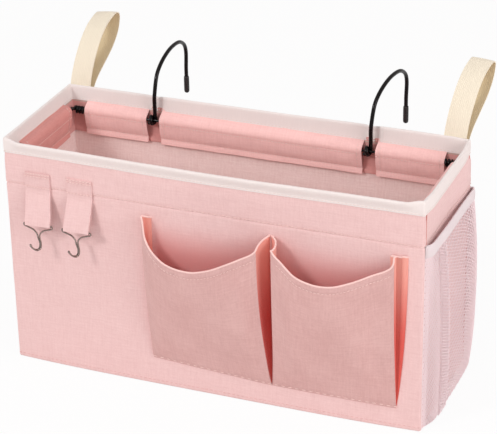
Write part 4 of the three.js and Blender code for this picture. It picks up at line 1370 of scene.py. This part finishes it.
def sleeve_stitches():
    rows = []
    for _, wall, start, end, wire in SLEEVES:
        place = WALLS[wall]
        for inset, height in ((9.0, SEAM_INSIDE), (12.4, CHANNEL_SEAM)):
            rows.append([place(run, inset, height) for run in steps_between(start + 1, end - 1, 6.0)])
        section = [(inset, z + raised(wire, z)) for inset, z in SLEEVE_SECTION[5:18]]
        for run in (start + 4.4, end - 4.4):
            rows.append([place(run, inset - 0.1, z) for inset, z in section])
    sewn("stitches_sleeve", rows, THREAD_LIGHT, "pink_fabric", 3.4, 2.8, 0.3)


def corner_seams():
    """The side panels are sewn in behind the front and back ones: a narrow welt down each corner, dark red as painted
    shade for the shadow line along the seam.
    """
    out, back = WIDTH / 2 - PANEL_OUT + 0.12, DEPTH / 2 - 4.6
    for x_name, x in (("right", out), ("left", -out)):
        for y_name, y in (("front", -back), ("back", back)):
            line = [Vector((x, y, z)) for z in steps_between(2.0, 213.0, 4.0)]
            rode(tube(f"seam_{x_name}_{y_name}", line, SEAM_RADIUS, SEAM_SHADE, sides=8), "basket", "pink_fabric")


# Camera, floor and light
def camera_at_photo():
    """The pinhole camera that the box's eight corners close on."""
    azimuth, elevation, roll = radians(22.310), radians(26.189), radians(-1.211)
    distance, shift_right, shift_up = 1885.3, -9.70, -34.46
    back = Vector((
        sin(azimuth) * cos(elevation),
        -cos(azimuth) * cos(elevation),
        sin(elevation),
    ))
    level = Vector((cos(azimuth), sin(azimuth), 0))
    upright = back.cross(level)
    right = level * cos(roll) + upright * sin(roll)
    up = upright * cos(roll) - level * sin(roll)
    location = Vector((0, 0, 110)) - (right * shift_right + up * shift_up - back * distance)
    data = bpy.data.cameras.new("photo_camera")
    data.sensor_width, data.lens = 36.0, 147.52
    data.clip_start, data.clip_end = 0.05, 60.0
    camera = placed("photo_camera", data)
    turn = Matrix((right, up, back)).transposed().to_4x4()
    camera.matrix_world = Matrix.Translation(location * MM) @ turn
    bpy.context.scene.camera = camera


FLOOR_WHITE, WORLD_LIGHT, FLOOR_REACH = 0.93, 0.58, 9000


def floor_and_world():
    """White where the camera or a reflection sees it, with the object's shadow kept."""
    finish = Finish("studio_floor")
    camera, gloss, glass = finish.light_path()
    seen = camera.highest(gloss).highest(glass) * FLOOR_WHITE
    paper = finish.node("ShaderNodeBsdfDiffuse", None, {"Color": colour(240, 236, 235)})
    white = finish.node("ShaderNodeEmission", None, {"Color": (1, 1, 1, 1), "Strength": 1.0})
    finish.surfaced(finish.node("ShaderNodeMixShader", None, {0: seen, 1: paper, 2: white}))
    square = ((-1, -1), (1, -1), (1, 1), (-1, 1))
    corners = [Vector((x * FLOOR_REACH, y * FLOOR_REACH, -0.2)) for x, y in square]
    made("studio_floor", corners, [(0, 1, 2, 3)], finish.material)

    world = bpy.data.worlds.new("studio")
    bpy.context.scene.world = world
    world.use_nodes = True
    sky = Nodes(world.node_tree)
    camera, _, glass = sky.light_path()
    light = sky.node("ShaderNodeBackground", None, {"Color": (1.0, 0.95, 0.945, 1), "Strength": WORLD_LIGHT})
    white = sky.node("ShaderNodeBackground", None, {"Color": (1, 1, 1, 1), "Strength": 1.0})
    mixed = sky.node("ShaderNodeMixShader", None, {0: camera.highest(glass), 1: light, 2: white})
    sky.node("ShaderNodeOutputWorld", None, {"Surface": mixed})
    bpy.context.scene.view_settings.view_transform = "Standard"


def lamp(name, place, size, watts, tint=(1, 1, 1)):
    """A soft square lamp that faces the middle of the box."""
    data = bpy.data.lights.new(name, "AREA")
    data.shape = "RECTANGLE"
    data.size = data.size_y = size
    data.energy = watts
    data.color = tint
    stand = placed(name, data)
    stand.location = place
    aim = Vector((0, 0, 0.12)) - Vector(place)
    stand.rotation_euler = aim.to_track_quat("-Z", "Y").to_euler()


camera_at_photo()
floor_and_world()
lamp("key", (-1.45, -2.15, 1.9), 0.7, 33, (0.99, 1.0, 0.995))
lamp("fill", (2.0, -0.6, 1.1), 1.3, 21, (1.0, 0.99, 0.985))
lamp("top", (0.0, -0.9, 2.4), 1.6, 4)

outer_shell()
base_cloth()
stiffening_boards()
rim_tape()
lining_cloths()
frame_wires()
sleeves_and_backing()
for side, place, yaw in HOOKS:
    rail_hook(side, place, yaw)
for side, x in (("left", -LOOP_X), ("right", LOOP_X)):
    webbing_loop(side, x)
for seed, (side, x, lean) in enumerate(TABS):
    tab(side, x, lean, seed)
    clip(side, x + lean)
for side in ("left", "right"):
    pocket_face(side)
    for hand in (-1, 1):
        pocket_side(side, hand)
    pocket_hem(side)
mesh_pocket()
seam_stitches()
pocket_stitches()
strap_stitches()
sleeve_stitches()
corner_seams()
